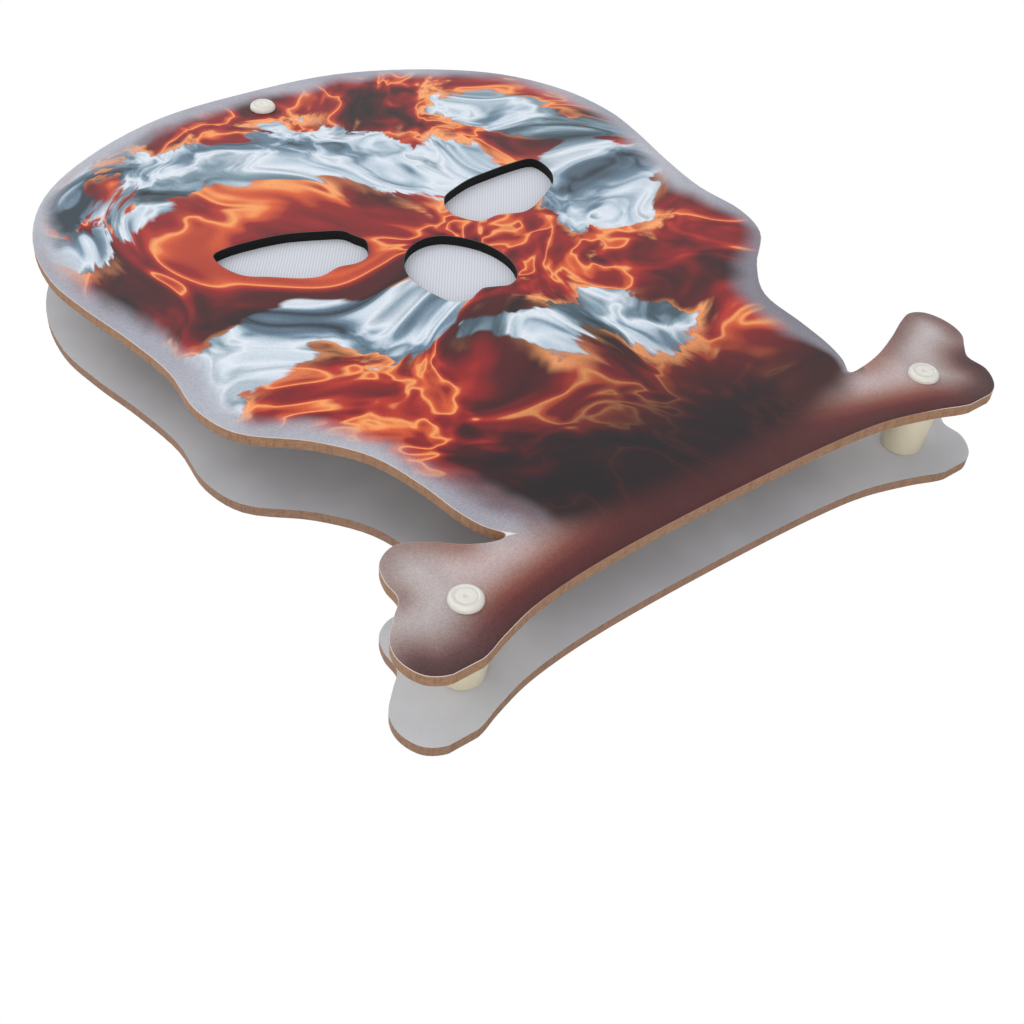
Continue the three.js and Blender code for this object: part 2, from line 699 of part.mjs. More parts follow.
// Conical spring from its wide base at z = 0 to its tip, with a straight run at each end.
function springRoute(up) {
  const reach = springLength - 2 * springWireRadius - cellEndGap;
  const steps = springTurns * springStepsPerTurn;
  const points = [];
  for (let i = 0; i <= steps; i += 1) {
    const share = i / steps;
    const angle = 2 * Math.PI * springTurns * share;
    const radius = springBaseRadius + (springTipRadius - springBaseRadius) * share;
    const height = springWireRadius + cellEndGap / 2 + reach * share;
    points.push(new THREE.Vector3(radius * Math.cos(angle), radius * Math.sin(angle), up * height));
  }
  return points;
}

// The least gap between turns of a wound wire, from its centre points and radius.
function leastGap(points, wireRadius, stepsPerTurn) {
  let least = Infinity;
  for (let i = 0; i < points.length; i += 1) {
    for (let j = i + stepsPerTurn / 2; j < points.length; j += 1) {
      least = Math.min(least, points[i].distanceTo(points[j]) - 2 * wireRadius);
    }
  }
  return least;
}

// A closed round tube through the points, with flat ends square to the route.
function tube(points, radius, sides) {
  const rings = points.map((point, i) => {
    const ahead = points[Math.min(i + 1, points.length - 1)];
    const behind = points[Math.max(i - 1, 0)];
    return { point, along: ahead.clone().sub(behind).normalize() };
  });
  const positions = [];
  let across = new THREE.Vector3(0, 0, 1);
  for (const { point, along } of rings) {
    across = across.clone().addScaledVector(along, -across.dot(along)).normalize();
    const third = along.clone().cross(across);
    for (let k = 0; k < sides; k += 1) {
      const angle = (2 * Math.PI * k) / sides;
      const spot = point.clone()
        .addScaledVector(across, radius * Math.cos(angle))
        .addScaledVector(third, radius * Math.sin(angle));
      positions.push(spot.x, spot.y, spot.z);
    }
  }
  const index = [];
  for (let i = 0; i < rings.length - 1; i += 1) {
    for (let k = 0; k < sides; k += 1) {
      const a = i * sides + k;
      const b = i * sides + ((k + 1) % sides);
      index.push(a, b, b + sides, a, b + sides, a + sides);
    }
  }
  const last = (rings.length - 1) * sides;
  for (let k = 1; k < sides - 1; k += 1) {
    index.push(0, k + 1, k, last, last + k, last + k + 1);
  }
  const geometry = new THREE.BufferGeometry();
  geometry.setAttribute('position', new THREE.Float32BufferAttribute(positions, 3));
  geometry.setIndex(index);
  geometry.computeVertexNormals();
  return geometry;
}

function spring(x, up) {
  const points = springRoute(up);
  const gap = leastGap(points, springWireRadius, springStepsPerTurn);
  console.log(`spring: least gap between turns ${gap.toFixed(2)} mm`);
  const geometry = tube(points, springWireRadius, springSides);
  const base = up > 0 ? trayBottomZ + contactStack : trayTopZ - contactStack;
  geometry.translate(x, cellAxisY, base);
  return geometry;
}

function switchBody() {
  const topY = flangeUnderY - switchBodyClearance;
  let body = solidBlock(-switchBodyWidth / 2, switchBodyWidth / 2, topY - switchBodyDepth, topY,
    switchZ - switchBodyHeight / 2, switchZ + switchBodyHeight / 2);
  for (let i = 0; i < switchPinCount; i += 1) {
    const x = (i - (switchPinCount - 1) / 2) * switchPinPitch;
    body = body.add(solidBlock(x - switchPinWidth / 2, x + switchPinWidth / 2,
      topY - switchBodyDepth - switchPinLength, topY - switchBodyDepth,
      switchZ - switchPinThickness / 2, switchZ + switchPinThickness / 2));
  }
  return toGeometry(body);
}

const knobTravel = switchWindowWidth - knobWidth - 2 * knobClearance;

function knob() {
  const x0 = -switchWindowWidth / 2 + knobClearance;
  const topY = flangeOuterY + knobProud;
  let body = solidBlock(x0, x0 + knobWidth, flangeUnderY - switchBodyClearance + knobClearance, topY,
    switchZ - knobHeight / 2, switchZ + knobHeight / 2);
  for (let i = 0; i < knobRidgeCount; i += 1) {
    const x = x0 + knobWidth / 2 + (i - (knobRidgeCount - 1) / 2) * knobRidgePitch;
    body = body.subtract(solidBlock(x - knobRidgeWidth / 2, x + knobRidgeWidth / 2,
      topY - knobRidgeDepth, topY + overrun, switchZ - knobHeight, switchZ + knobHeight));
  }
  return toGeometry(body);
}

function screw(x, z) {
  return turned([
    [0, flangeOuterY - screwLength],
    [screwShankRadius / 2, flangeOuterY - screwLength],
    [screwShankRadius, flangeOuterY - screwLength + screwShankRadius],
    [screwShankRadius, flangeOuterY - screwHeadHeight],
    [screwHeadRadius, flangeOuterY - screwClearance],
    [0, flangeOuterY - screwClearance],
  ], smallSides, x, z);
}

// Lamp on a strip, facing the front, with a round dished window.
function lamp(x, z, seatY) {
  const half = lampSize / 2;
  const topY = seatY - lampHeight;
  const body = solidBlock(x - half, x + half, topY, seatY, z - half, z + half);
  const dish = toSolid(turned([
    [0, topY - overrun],
    [lampWindowRadius, topY - overrun],
    [lampWindowRadius, topY],
    [lampWindowRadius - lampWindowDepth, topY + lampWindowDepth],
    [0, topY + lampWindowDepth],
  ], smallSides, x, z));
  return toGeometry(body.subtract(dish));
}

function addStrip(name, x, z, length, lampCount, backY, group) {
  const frontY = backY - stripThickness;
  place(`${name}_led_strip`, block(x - length / 2, x + length / 2, frontY, backY,
    z - stripWidth / 2, z + stripWidth / 2), circuitBoard(), group);
  for (let i = 0; i < lampCount; i += 1) {
    const lampX = x + ((i + 0.5) / lampCount - 0.5) * length;
    place(`${name}_led_${i + 1}`, lamp(lampX, z, frontY - lampGap), lampResin(), group);
  }
}

function lead(name, points, material) {
  const section = new THREE.Shape(circlePath(0, 0, leadRadius, leadSides).getPoints());
  const route = new THREE.CatmullRomCurve3(points, false, 'centripetal');
  place(name, new THREE.ExtrudeGeometry(section, {
    steps: leadSteps, bevelEnabled: false, extrudePath: route,
  }), material);
}

place('front_plate', frontPlate(), printedBoard());
place('back_plate', backPlate(), rawBoard());
place('diffuser_cloth', cloth(), whiteCloth());
for (const [where, at] of rivetPlaces) {
  place(`${where}_spacer`, spacer(at.x, at.y), creamPlastic());
  place(`${where}_post`, post(at.x, at.y), ivoryPlastic());
  place(`${where}_cap`, cap(at.x, at.y), ivoryPlastic());
}

batteryCase.position.set(caseX, 0, caseZ);
batteryCase.rotation.y = -THREE.MathUtils.degToRad(caseTiltDegrees);
place('battery_case', caseBody(), whitePlastic(), batteryCase);
place('battery_lid', lid(), whitePlastic(), batteryCase);
place('left_cell', cell(-cellX, true), cellWrap(), batteryCase);
place('right_cell', cell(cellX, false), cellWrap(), batteryCase);
place('plus_contact', upperContact(-cellX), nickelSteel(), batteryCase);
place('minus_contact', upperContact(cellX), nickelSteel(), batteryCase);
place('bridge_contact', lowerBridge(), nickelSteel(), batteryCase);
place('lower_spring', spring(-cellX, 1), nickelSteel(), batteryCase);
place('upper_spring', spring(cellX, -1), nickelSteel(), batteryCase);
place('switch_body', switchBody(), blackPlastic(), batteryCase);
place('switch_knob', knob(), blackPlastic(), batteryCase);
screwPlaces().forEach(([x, z], i) => {
  place(`case_screw_${i + 1}`, screw(x, z), darkSteel(), batteryCase);
});
console.log(`switch travel ${knobTravel.toFixed(2)} mm`);

const eyeStripY = backPlateFrontY - stripSeat;
addStrip('left', -eyeStripX, eyeStripZ, eyeStripLength, eyeLampCount, eyeStripY, skull);
addStrip('right', eyeStripX, eyeStripZ, eyeStripLength, eyeLampCount, eyeStripY, skull);
addStrip('nose', 0, noseStripZ, noseStripLength, noseLampCount, trayUnderY - stripSeat, batteryCase);

// Leads run on the back plate's front face and over the tray, from tab or pin to strip end.
const leadY = backPlateFrontY - leadGap - leadRadius;
const overTrayY = trayUnderY - leadGap - leadRadius;
const tabTipY = trayUnderY - contactTabLength;
const tabZ = trayTopZ - contactStack + contactThickness / 2;
const pinTipY = flangeUnderY - switchBodyClearance - switchBodyDepth - switchPinLength;
const spot = (x, y, z) => new THREE.Vector3(x, y, z);
const caseSpot = (x, y, z) => {
  const at = fromCase(x, z);
  return spot(at.x, y, at.y);
};
const stripInnerX = eyeStripX - eyeStripLength / 2;
const leadRoom = leadGap + 2 * leadRadius;

const tabLeadY = tabTipY - leadGap - leadRadius;
const stripTopZ = eyeStripZ + stripWidth / 2;

lead('switch_lead', [
  caseSpot(-cellX, tabLeadY, tabZ),
  caseSpot(-cellX, tabLeadY, trayTopZ + trayWall + leadRadius),
  caseSpot(-switchPinPitch, (pinTipY + tabTipY) / 2, switchZ),
  caseSpot(-switchPinPitch, pinTipY - leadGap, switchZ),
], redLead());
lead('red_feed_lead', [
  caseSpot(0, pinTipY - leadGap, switchZ),
  caseSpot(0, pinTipY - leadRoom, switchZ + leadRadius),
  caseSpot(-leadPairPitch, pinTipY - leadRoom, switchZ + leadPairPitch),
  caseSpot(-pocketHalfWidth - trayWall, flangeUnderY - switchPocketDepth - leadRoom, switchZ),
  caseSpot(-pocketHalfWidth - trayWall - 2 * leadRoom, leadY - leadRadius, switchZ - leadPairPitch),
  spot(-stripInnerX - stripWidth / 2, leadY, stripTopZ + stripWidth),
  spot(-stripInnerX - stripWidth / 2, leadY, stripTopZ + leadGap),
], redLead());
lead('black_feed_lead', [
  caseSpot(cellX, tabLeadY, tabZ),
  caseSpot(trayOuterX, trayUnderY - leadRoom, tabZ),
  caseSpot(trayOuterX + leadRoom, trayFloorY, tabZ),
  spot(stripInnerX + stripWidth / 2, leadY, stripTopZ + leadRoom),
  spot(stripInnerX + stripWidth / 2, leadY, stripTopZ + leadGap),
], blackLead());

for (const [side, name] of [[-1, 'left'], [1, 'right']]) {
  for (const [row, colour, material] of [[1, 'red', redLead()], [-1, 'black', blackLead()]]) {
    const shift = row * leadPairPitch / 2;
    const highZ = eyeStripZ - caseZ + shift;
    const lowZ = noseStripZ + shift;
    lead(`${name}_${colour}_lead`, [
      spot(side * (stripInnerX - leadGap), leadY, eyeStripZ + shift),
      caseSpot(side * (trayOuterX + 2 * leadRoom), leadY, highZ - stripWidth / 2),
      caseSpot(side * (trayOuterX + leadRoom), (leadY + trayFloorY) / 2, (highZ + lowZ) / 2),
      caseSpot(side * (trayOuterX + leadRoom), trayUnderY - leadGap, lowZ + stripWidth / 2),
      caseSpot(side * (trayOuterX - leadGap), trayUnderY - leadRoom, lowZ),
      caseSpot(side * (noseStripLength / 2 + leadGap), overTrayY, lowZ),
    ], material);
  }
}

// Centre the footprint on the origin.
const reach = new THREE.Box2().setFromPoints(outline);
skull.position.x = -(reach.min.x + reach.max.x) / 2;

export default skull;
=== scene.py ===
# %% [markdown]
# # A light-up halloween skull decoration
# Two fibreboard plates of one outline, a skull over a bone, are held apart by three rivets. White cloth
# shows through the cut-out eyes and nose, and a battery case for two cells is let into the back plate.
# All the sizes here are in metres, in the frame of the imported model: the decoration stands upright, its
# front looks along minus Y, and Z is up.

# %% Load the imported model
import math

import bmesh
import bpy
import numpy as np
from mathutils import Matrix, Vector, geometry


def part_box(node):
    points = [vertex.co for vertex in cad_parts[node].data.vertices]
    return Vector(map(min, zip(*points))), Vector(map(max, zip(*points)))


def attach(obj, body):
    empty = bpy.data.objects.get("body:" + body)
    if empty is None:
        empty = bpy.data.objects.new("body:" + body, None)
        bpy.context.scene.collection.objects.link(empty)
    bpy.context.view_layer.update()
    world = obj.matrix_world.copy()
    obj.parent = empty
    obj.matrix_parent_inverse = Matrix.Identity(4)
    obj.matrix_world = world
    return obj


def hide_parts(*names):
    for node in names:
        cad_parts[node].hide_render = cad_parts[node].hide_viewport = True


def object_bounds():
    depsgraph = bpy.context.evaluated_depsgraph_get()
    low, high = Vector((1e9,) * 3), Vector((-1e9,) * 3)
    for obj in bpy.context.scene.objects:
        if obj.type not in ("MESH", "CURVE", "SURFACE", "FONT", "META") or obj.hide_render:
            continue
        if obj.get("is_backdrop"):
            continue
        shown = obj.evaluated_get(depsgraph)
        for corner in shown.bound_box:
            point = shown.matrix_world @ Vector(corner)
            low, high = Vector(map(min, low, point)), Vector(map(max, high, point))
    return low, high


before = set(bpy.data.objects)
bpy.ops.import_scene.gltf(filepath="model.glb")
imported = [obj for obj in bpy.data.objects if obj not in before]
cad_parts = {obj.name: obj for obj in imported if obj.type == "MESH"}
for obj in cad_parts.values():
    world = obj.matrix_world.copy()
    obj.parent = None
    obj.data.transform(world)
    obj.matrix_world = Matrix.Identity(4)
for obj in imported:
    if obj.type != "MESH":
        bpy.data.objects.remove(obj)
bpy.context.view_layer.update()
MM = 0.001

# %% [markdown]
# ## The camera
# The decoration was photographed lying on its back, from beyond its lower edge. Seen from the upright
# decoration, the camera is in front of it, to the left, and lower than its feet. Its place, its three
# directions and its lens were found by laying the outlines of both plates over the photograph.

# %% Camera
CAMERA_AT = (-0.2073, -0.2334, -0.1481)
CAMERA_RIGHT = np.array([0.7967, -0.0665, -0.6007])
CAMERA_UP = np.array([0.3697, -0.7328, 0.5713])
CAMERA_AHEAD = np.array([0.4782, 0.6772, 0.5592])
LENS = 48.0
SENSOR = 36.0
NEAREST = 10 * MM

camera_data = bpy.data.cameras.new("camera")
camera_data.lens = LENS
camera_data.sensor_width = SENSOR
camera_data.clip_start = NEAREST
camera = bpy.data.objects.new("camera", camera_data)
bpy.context.scene.collection.objects.link(camera)
turn = Matrix(np.column_stack([CAMERA_RIGHT, CAMERA_UP, -CAMERA_AHEAD]).tolist())
camera.matrix_world = Matrix.Translation(CAMERA_AT) @ turn.to_4x4()
bpy.context.scene.camera = camera
print("camera looks along", CAMERA_AHEAD)

# %% [markdown]
# ## Pieces and grids
# Every new surface here is a grid of points from a formula, joined by four-sided faces. The first helper
# puts such points into a mesh, turns its faces outwards, smooths all but its sharp edges and ties it to
# a body of the model. The second one lists the faces of a grid.

# %% Pieces and grids
def piece(name, points, faces, body, materials, stands_for=(), crease=40.0, face_materials=None):
    """A mesh object that rides on a body.

    points is an (n, 3) array in metres and faces a list of lists of point numbers. Every piece is closed,
    and a volume below 0 shows that its faces point inwards, so they are turned. Edges sharper than crease
    degrees stay sharp, and face_materials gives each face's place in materials."""
    mesh = bpy.data.meshes.new(name)
    mesh.from_pydata(np.asarray(points).tolist(), [], faces)
    if face_materials is not None:
        mesh.polygons.foreach_set("material_index", np.asarray(face_materials, dtype=np.int32))
    work = bmesh.new()
    work.from_mesh(mesh)
    bmesh.ops.recalc_face_normals(work, faces=work.faces)
    if work.calc_volume(signed=True) < 0:
        bmesh.ops.reverse_faces(work, faces=work.faces)
    work.to_mesh(mesh)
    work.free()
    mesh.shade_smooth()
    mesh.set_sharp_from_angle(angle=math.radians(crease))
    for finish in materials:
        mesh.materials.append(finish)
    thing = bpy.data.objects.new(name, mesh)
    bpy.context.scene.collection.objects.link(thing)
    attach(thing, body)
    if stands_for:
        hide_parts(*stands_for)
    return thing


def grid_faces(rows, columns, wrap_columns=True, wrap_rows=False):
    """Four-sided faces between the neighbours in a grid of rows x columns points.

    Point (r, c) has the number r * columns + c. A grid that wraps joins its last row or column to its
    first one."""
    row = np.arange(rows if wrap_rows else rows - 1)[:, None]
    column = np.arange(columns if wrap_columns else columns - 1)[None, :]
    row_start = row * columns
    next_row_start = ((row + 1) % rows) * columns
    next_column = (column + 1) % columns
    corners = [
        row_start + column, row_start + next_column, next_row_start + next_column, next_row_start + column,
    ]
    return np.stack(corners, -1).reshape(-1, 4).tolist()


print("piece helpers ready")

# %% [markdown]
# ## Turned pieces
# Rivets, caps, screws and cells are round, so each is a profile carried once round an axis. Neither a
# mould nor a lathe leaves a perfectly sharp corner, so a profile's corners are rounded off first.

# %% Profiles and turning
def rounded(corners, steps=5):
    """A profile through corners (a, b, r), each rounded off over the length r.

    The corner C between neighbours P and Q becomes B(t) = (1-t)^2 A + 2t(1-t) C + t^2 D, where A and D
    lie at the distance r from C towards P and Q."""
    corners = np.asarray(corners, dtype=float)
    out = [corners[0, :2]]
    t = np.linspace(0, 1, steps + 1)[:, None]
    for before, here, after in zip(corners[:-2], corners[1:-1], corners[2:]):
        centre, size = here[:2], here[2]
        if size == 0:
            out.append(centre)
            continue
        first = centre + (before[:2] - centre) * size / np.linalg.norm(before[:2] - centre)
        last = centre + (after[:2] - centre) * size / np.linalg.norm(after[:2] - centre)
        out.extend((1 - t) ** 2 * first + 2 * t * (1 - t) * centre + t ** 2 * last)
    out.append(corners[-1, :2])
    return np.array(out)


def turned(profile, x, z, sides=96, closed=False):
    """Points and faces of a round solid about the line through (x, z) that runs along Y.

    profile is a list of (radius, y). p(r, y, a) = (x + r cos a, y, z + r sin a). A closed profile makes a
    ring, and an open one starts and ends on the axis, where a fan of triangles meets in one point."""
    profile = np.asarray(profile, dtype=float)
    rings = profile if closed else profile[1:-1]
    angle = np.linspace(0, 2 * np.pi, sides, endpoint=False)
    points = np.stack([
        x + rings[:, :1] * np.cos(angle), rings[:, 1:] + 0 * angle, z + rings[:, :1] * np.sin(angle),
    ], -1).reshape(-1, 3)
    faces = grid_faces(len(rings), sides, wrap_rows=closed)
    if closed:
        return points, faces
    poles = np.array([[x, profile[0, 1], z], [x, profile[-1, 1], z]])
    side = np.arange(sides)
    last = len(points) - sides
    first_fan = np.stack([np.full(sides, len(points)), (side + 1) % sides, side], -1)
    last_fan = np.stack([np.full(sides, len(points) + 1), last + side, last + (side + 1) % sides], -1)
    return np.vstack([points, poles]), faces + first_fan.tolist() + last_fan.tolist()


print("turning helpers ready")

# %% [markdown]
# ## Wires
# The springs and the leads are round wires along a line. The leads' lines are smooth curves through a
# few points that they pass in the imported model.

# %% Paths and wires
SIDEWAYS = (0.3, 0.5, 0.8)  # a direction that no wire here starts along
LAST_RING = 0.82            # the end rings' share of the radius, which rounds the ends off


def smooth_path(points, steps):
    """A centripetal Catmull-Rom line through the points, with steps pieces between each two of them.

    The knots are t(i+1) = t(i) + |P(i+1) - P(i)|^0.5, and each stretch blends its four nearest points."""
    points = np.asarray(points, dtype=float)
    points = np.vstack([2 * points[0] - points[1], points, 2 * points[-1] - points[-2]])
    out = []
    for p0, p1, p2, p3 in zip(points[:-3], points[1:-2], points[2:-1], points[3:]):
        t1 = np.sqrt(np.linalg.norm(p1 - p0))
        t2 = t1 + np.sqrt(np.linalg.norm(p2 - p1))
        t3 = t2 + np.sqrt(np.linalg.norm(p3 - p2))
        t = np.linspace(t1, t2, steps, endpoint=False)[:, None]
        a1 = p0 + (p1 - p0) * t / t1
        a2 = p1 + (p2 - p1) * (t - t1) / (t2 - t1)
        a3 = p2 + (p3 - p2) * (t - t2) / (t3 - t2)
        b1 = a1 + (a2 - a1) * t / t2
        b2 = a2 + (a3 - a2) * (t - t1) / (t3 - t1)
        out.append(b1 + (b2 - b1) * (t - t1) / (t2 - t1))
    out.append(points[-2:-1])
    return np.vstack(out)


def wire(path, radius, sides=16):
    """A closed round wire along a path of points.

    At each point two directions square to the path are carried along it, so p = c + r (u cos a + v sin a),
    and the ends are rounded off by rings of a smaller radius."""
    path = np.asarray(path, dtype=float)
    ahead = np.gradient(path, axis=0)
    ahead /= np.linalg.norm(ahead, axis=1, keepdims=True)
    across = np.cross(ahead[0], SIDEWAYS)
    us = []
    for direction in ahead:
        across = across - direction * across.dot(direction)
        across /= np.linalg.norm(across)
        us.append(across)
    us = np.array(us)
    vs = np.cross(ahead, us)
    radii = np.full(len(path), radius)
    radii[[0, -1]] = radius * LAST_RING
    angle = np.linspace(0, 2 * np.pi, sides, endpoint=False)
    ring = us[:, None] * np.cos(angle)[None, :, None] + vs[:, None] * np.sin(angle)[None, :, None]
    points = (path[:, None] + radii[:, None, None] * ring).reshape(-1, 3)
    faces = grid_faces(len(path), sides)
    ends = [list(range(sides))[::-1], list(range(len(points) - sides, len(points)))]
    return points, faces + ends


print("wire helpers ready")

# %% [markdown]
# ## Softened copies
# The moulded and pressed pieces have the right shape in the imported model, but with sharp edges, and an
# edge shows as moulded only where it is round enough to catch the light. A CAD mesh is loose triangles,
# so a copy has its points merged and its flat faces joined first, and a Bevel then rounds its edges.

# %% Softened copies
EDGE_ANGLE = 35.0            # degrees: an edge that turns more than this is rounded
FLAT_ANGLE = 0.5             # faces that turn less than this are one flat face
SHARP_ANGLE = 60.0           # an edge that turns more than this isn't smoothed over
MERGE_WITHIN = 0.004 * MM    # points of a rounded edge that lie this near are one
ROUND_STEPS = 2              # strips of faces across a rounded edge


def joined_triangles(node_name):
    """The points and triangles of a CAD node, with the points that lie together made one."""
    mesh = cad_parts[node_name].data
    corners = np.zeros(len(mesh.vertices) * 3, np.float32)
    mesh.vertices.foreach_get("co", corners)
    triangles = np.zeros(len(mesh.loops), np.int32)
    mesh.loops.foreach_get("vertex_index", triangles)
    corners = np.round(corners.reshape(-1, 3).astype(float), 7)
    points, number = np.unique(corners, axis=0, return_inverse=True)
    triangles = number.reshape(-1)[triangles].reshape(-1, 3)
    a, b, c = triangles.T
    thin = (a == b) | (b == c) | (c == a)
    return points, triangles[~thin]


def softened(name, node_name, body, finish, width):
    """A CAD solid again, with its flat faces joined and its edges rounded over width metres."""
    points, triangles = joined_triangles(node_name)
    thing = piece(name, points, triangles.tolist(), body, [finish], (node_name,), EDGE_ANGLE)
    work = bmesh.new()
    work.from_mesh(thing.data)
    bmesh.ops.dissolve_limit(work, angle_limit=math.radians(FLAT_ANGLE), verts=work.verts, edges=work.edges)
    work.to_mesh(thing.data)
    work.free()
    thing.data.shade_smooth()
    bevel = thing.modifiers.new("rounding", "BEVEL")
    bevel.width = width
    bevel.segments = ROUND_STEPS
    bevel.angle_limit = math.radians(EDGE_ANGLE)
    thing.modifiers.new("joined", "WELD").merge_threshold = MERGE_WITHIN
    thing.data.set_sharp_from_angle(angle=math.radians(SHARP_ANGLE))
    return thing


print("copying helpers ready")

# %% [markdown]
# ## Helpers for node materials
# All the finishes are node materials on the object's own coordinates, which are metres on the real
# thing, so the grain of each finish keeps its true size. These helpers add the nodes that do sums.

# %% Node helpers
def material(name, **sockets):
    """A node material, and its Principled shader with these sockets set."""
    made = bpy.data.materials.new(name)
    made.use_nodes = True
    shader = made.node_tree.nodes["Principled BSDF"]
    for key, value in sockets.items():
        shader.inputs[key.replace("_", " ")].default_value = value
    return made, shader


def node(tree, kind, inputs=None, **settings):
    """A shader node. An input is given as a value or as another node's output."""
    made = tree.nodes.new("ShaderNode" + kind)
    for key, value in settings.items():
        setattr(made, key, value)
    for key, value in (inputs or {}).items():
        if isinstance(value, bpy.types.NodeSocket):
            tree.links.new(value, made.inputs[key])
        else:
            made.inputs[key].default_value = value
    return made


def place(tree, scale=(1, 1, 1), turn=(0, 0, 0)):
    """The object's coordinates in metres, multiplied by scale and then turned by some degrees."""
    coordinates = node(tree, "TexCoord").outputs["Object"]
    return node(tree, "Mapping", {
        "Vector": coordinates, "Scale": scale, "Rotation": [math.radians(v) for v in turn],
    }).outputs["Vector"]


def split(tree, vector):
    """The X, Y and Z of a vector, as the outputs of one node."""
    return node(tree, "SeparateXYZ", {"Vector": vector}).outputs


def maths(tree, operation, *values, clamp=False):
    """The result of one operation, such as ADD or MULTIPLY, on values and outputs."""
    return node(tree, "Math", dict(enumerate(values)), operation=operation, use_clamp=clamp).outputs[0]


def ramp(tree, value, low, high, to_low=0.0, to_high=1.0, soft=True):
    """value from low to high is spread over to_low to to_high, and stays there beyond them."""
    return node(tree, "MapRange", {
        "Value": value, "From Min": low, "From Max": high, "To Min": to_low, "To Max": to_high,
    }, interpolation_type="SMOOTHSTEP" if soft else "LINEAR").outputs["Result"]


print("node helpers ready")

# %% [markdown]
# ## Helpers for grain
# Grain comes from noise. A noise has a number of waves in a metre: 900 gives grains about a millimetre
# apart. Its values lie round a half, mostly between 0.3 and 0.7, so a ramp from there picks how much of
# the surface a second colour takes. Noise that moves the coordinates of other noise curls its grain, and
# a bump makes grain catch the light.

# %% Grain helpers
def noise(tree, vector, scale, detail=2.0, roughness=0.5, output="Fac"):
    """Soft noise with the given number of waves in each unit of the vector."""
    return node(tree, "TexNoise", {
        "Vector": vector, "Scale": scale, "Detail": detail, "Roughness": roughness,
    }).outputs[output]


def bent(tree, vector, scale, size, detail):
    """The vector moved by soft noise: v + size (n(v) - 1/2)."""
    drift = noise(tree, vector, scale, detail, output="Color")
    shift = node(tree, "VectorMath", {0: drift, 1: (0.5, 0.5, 0.5)}, operation="SUBTRACT")
    shift = node(tree, "VectorMath", {0: shift.outputs[0], "Scale": size}, operation="SCALE")
    return node(tree, "VectorMath", {0: vector, 1: shift.outputs[0]}, operation="ADD").outputs[0]


def bump(tree, height, strength, distance):
    """The surface's direction, tilted as by a relief of the height times distance, in metres."""
    made = node(tree, "Bump", {"Height": height, "Strength": strength, "Distance": distance})
    return made.outputs["Normal"]


print("grain helpers ready")

# %% [markdown]
# ## Helpers for colour
# Colours are written as a screen shows them, from 0 to 255, and turned into the linear light that a
# shader works with.

# %% Colour helpers
def srgb(red, green, blue):
    """A colour given in 0 to 255 as a screen shows it, as the linear colour that the shader takes.

    This is the standard sRGB curve: v / 12.92 in the darkest part, ((v + 0.055) / 1.055)^2.4 above it."""
    value = np.array([red, green, blue]) / 255
    return tuple(np.where(value <= 0.04045, value / 12.92, ((value + 0.055) / 1.055) ** 2.4).tolist())


def shade(colour, share):
    """The colour times a share: darker below 1, lighter above it."""
    return tuple(v * share for v in colour)


def blend(tree, share, first, second, kind="MIX"):
    """first where share is 0, second where it is 1. Colours are (r, g, b) or outputs.

    The Mix node keeps its sockets for colours at the places 0, 6 and 7, and gives its colour at 2."""
    made = node(tree, "Mix", data_type="RGBA", blend_type=kind)
    for number, value in ((0, share), (6, first), (7, second)):
        if isinstance(value, bpy.types.NodeSocket):
            tree.links.new(value, made.inputs[number])
        else:
            made.inputs[number].default_value = (*value, 1.0) if number else value
    return made.outputs[2]


def colours(tree, value, stops):
    """A colour ramp. stops is a list of (place, (r, g, b))."""
    made = node(tree, "ValToRGB", {"Fac": value})
    band = made.color_ramp
    while len(band.elements) < len(stops):
        band.elements.new(0.5)
    for element, (where, colour) in zip(band.elements, stops):
        element.position = where
        element.color = (*colour, 1.0)
    return made.outputs["Color"]


print("colour helpers ready")

# %% [markdown]
# ## Plastic and metal
# Moulded plastic is never one even colour: it has faint clouds, the satin skin of the mould, and where
# it is thin, light goes in a little way. Plated steel has fine drawing marks and a breath of tarnish.

# %% Plastic and metal
def plastic(name, colour, roughness, mottle=0.05, through=0.0, depth=3 * MM):
    """Moulded plastic with clouds about 11 mm apart and a skin of 0.2 mm grains.

    The clouds darken the colour by up to (1 - mottle)^2, and light goes in by about depth metres where
    through is over 0, red the furthest."""
    made, shader = material(name, Roughness=roughness, Subsurface_Weight=through)
    shader.inputs["Subsurface Radius"].default_value = (1.0, 0.9, 0.7)
    shader.inputs["Subsurface Scale"].default_value = depth
    tree = made.node_tree
    where = place(tree)
    cloudy = ramp(tree, noise(tree, where, 90.0, 3.0), 0.3, 0.7, soft=False)
    darker = shade(colour, (1 - mottle) ** 2)
    tree.links.new(blend(tree, cloudy, darker, colour), shader.inputs["Base Color"])
    skin = noise(tree, where, 5200.0, 2.0)
    rough = ramp(tree, skin, 0.3, 0.7, roughness * 0.88, roughness * 1.12, soft=False)
    tree.links.new(rough, shader.inputs["Roughness"])
    tree.links.new(bump(tree, skin, 0.25, 0.04 * MM), shader.inputs["Normal"])
    return made


def metal(name, colour, roughness, stretch=(1, 1, 1)):
    """Bright or dark metal with drawing marks of about 0.6 mm and clouds of tarnish about 4 mm apart.

    stretch packs the marks closer along one way, which draws them out across it."""
    made, shader = material(name, Metallic=1.0, Roughness=roughness)
    tree = made.node_tree
    marks = noise(tree, place(tree, stretch), 1600.0, 3.0, 0.6)
    clouds = ramp(tree, noise(tree, place(tree), 240.0, 2.0), 0.35, 0.7)
    tree.links.new(blend(tree, clouds, shade(colour, 0.8), colour), shader.inputs["Base Color"])
    rough = ramp(tree, marks, 0.3, 0.7, roughness * 0.75, roughness * 1.3, soft=False)
    tree.links.new(rough, shader.inputs["Roughness"])
    tree.links.new(bump(tree, marks, 0.2, 0.02 * MM), shader.inputs["Normal"])
    return made


print("plastic and metal ready")

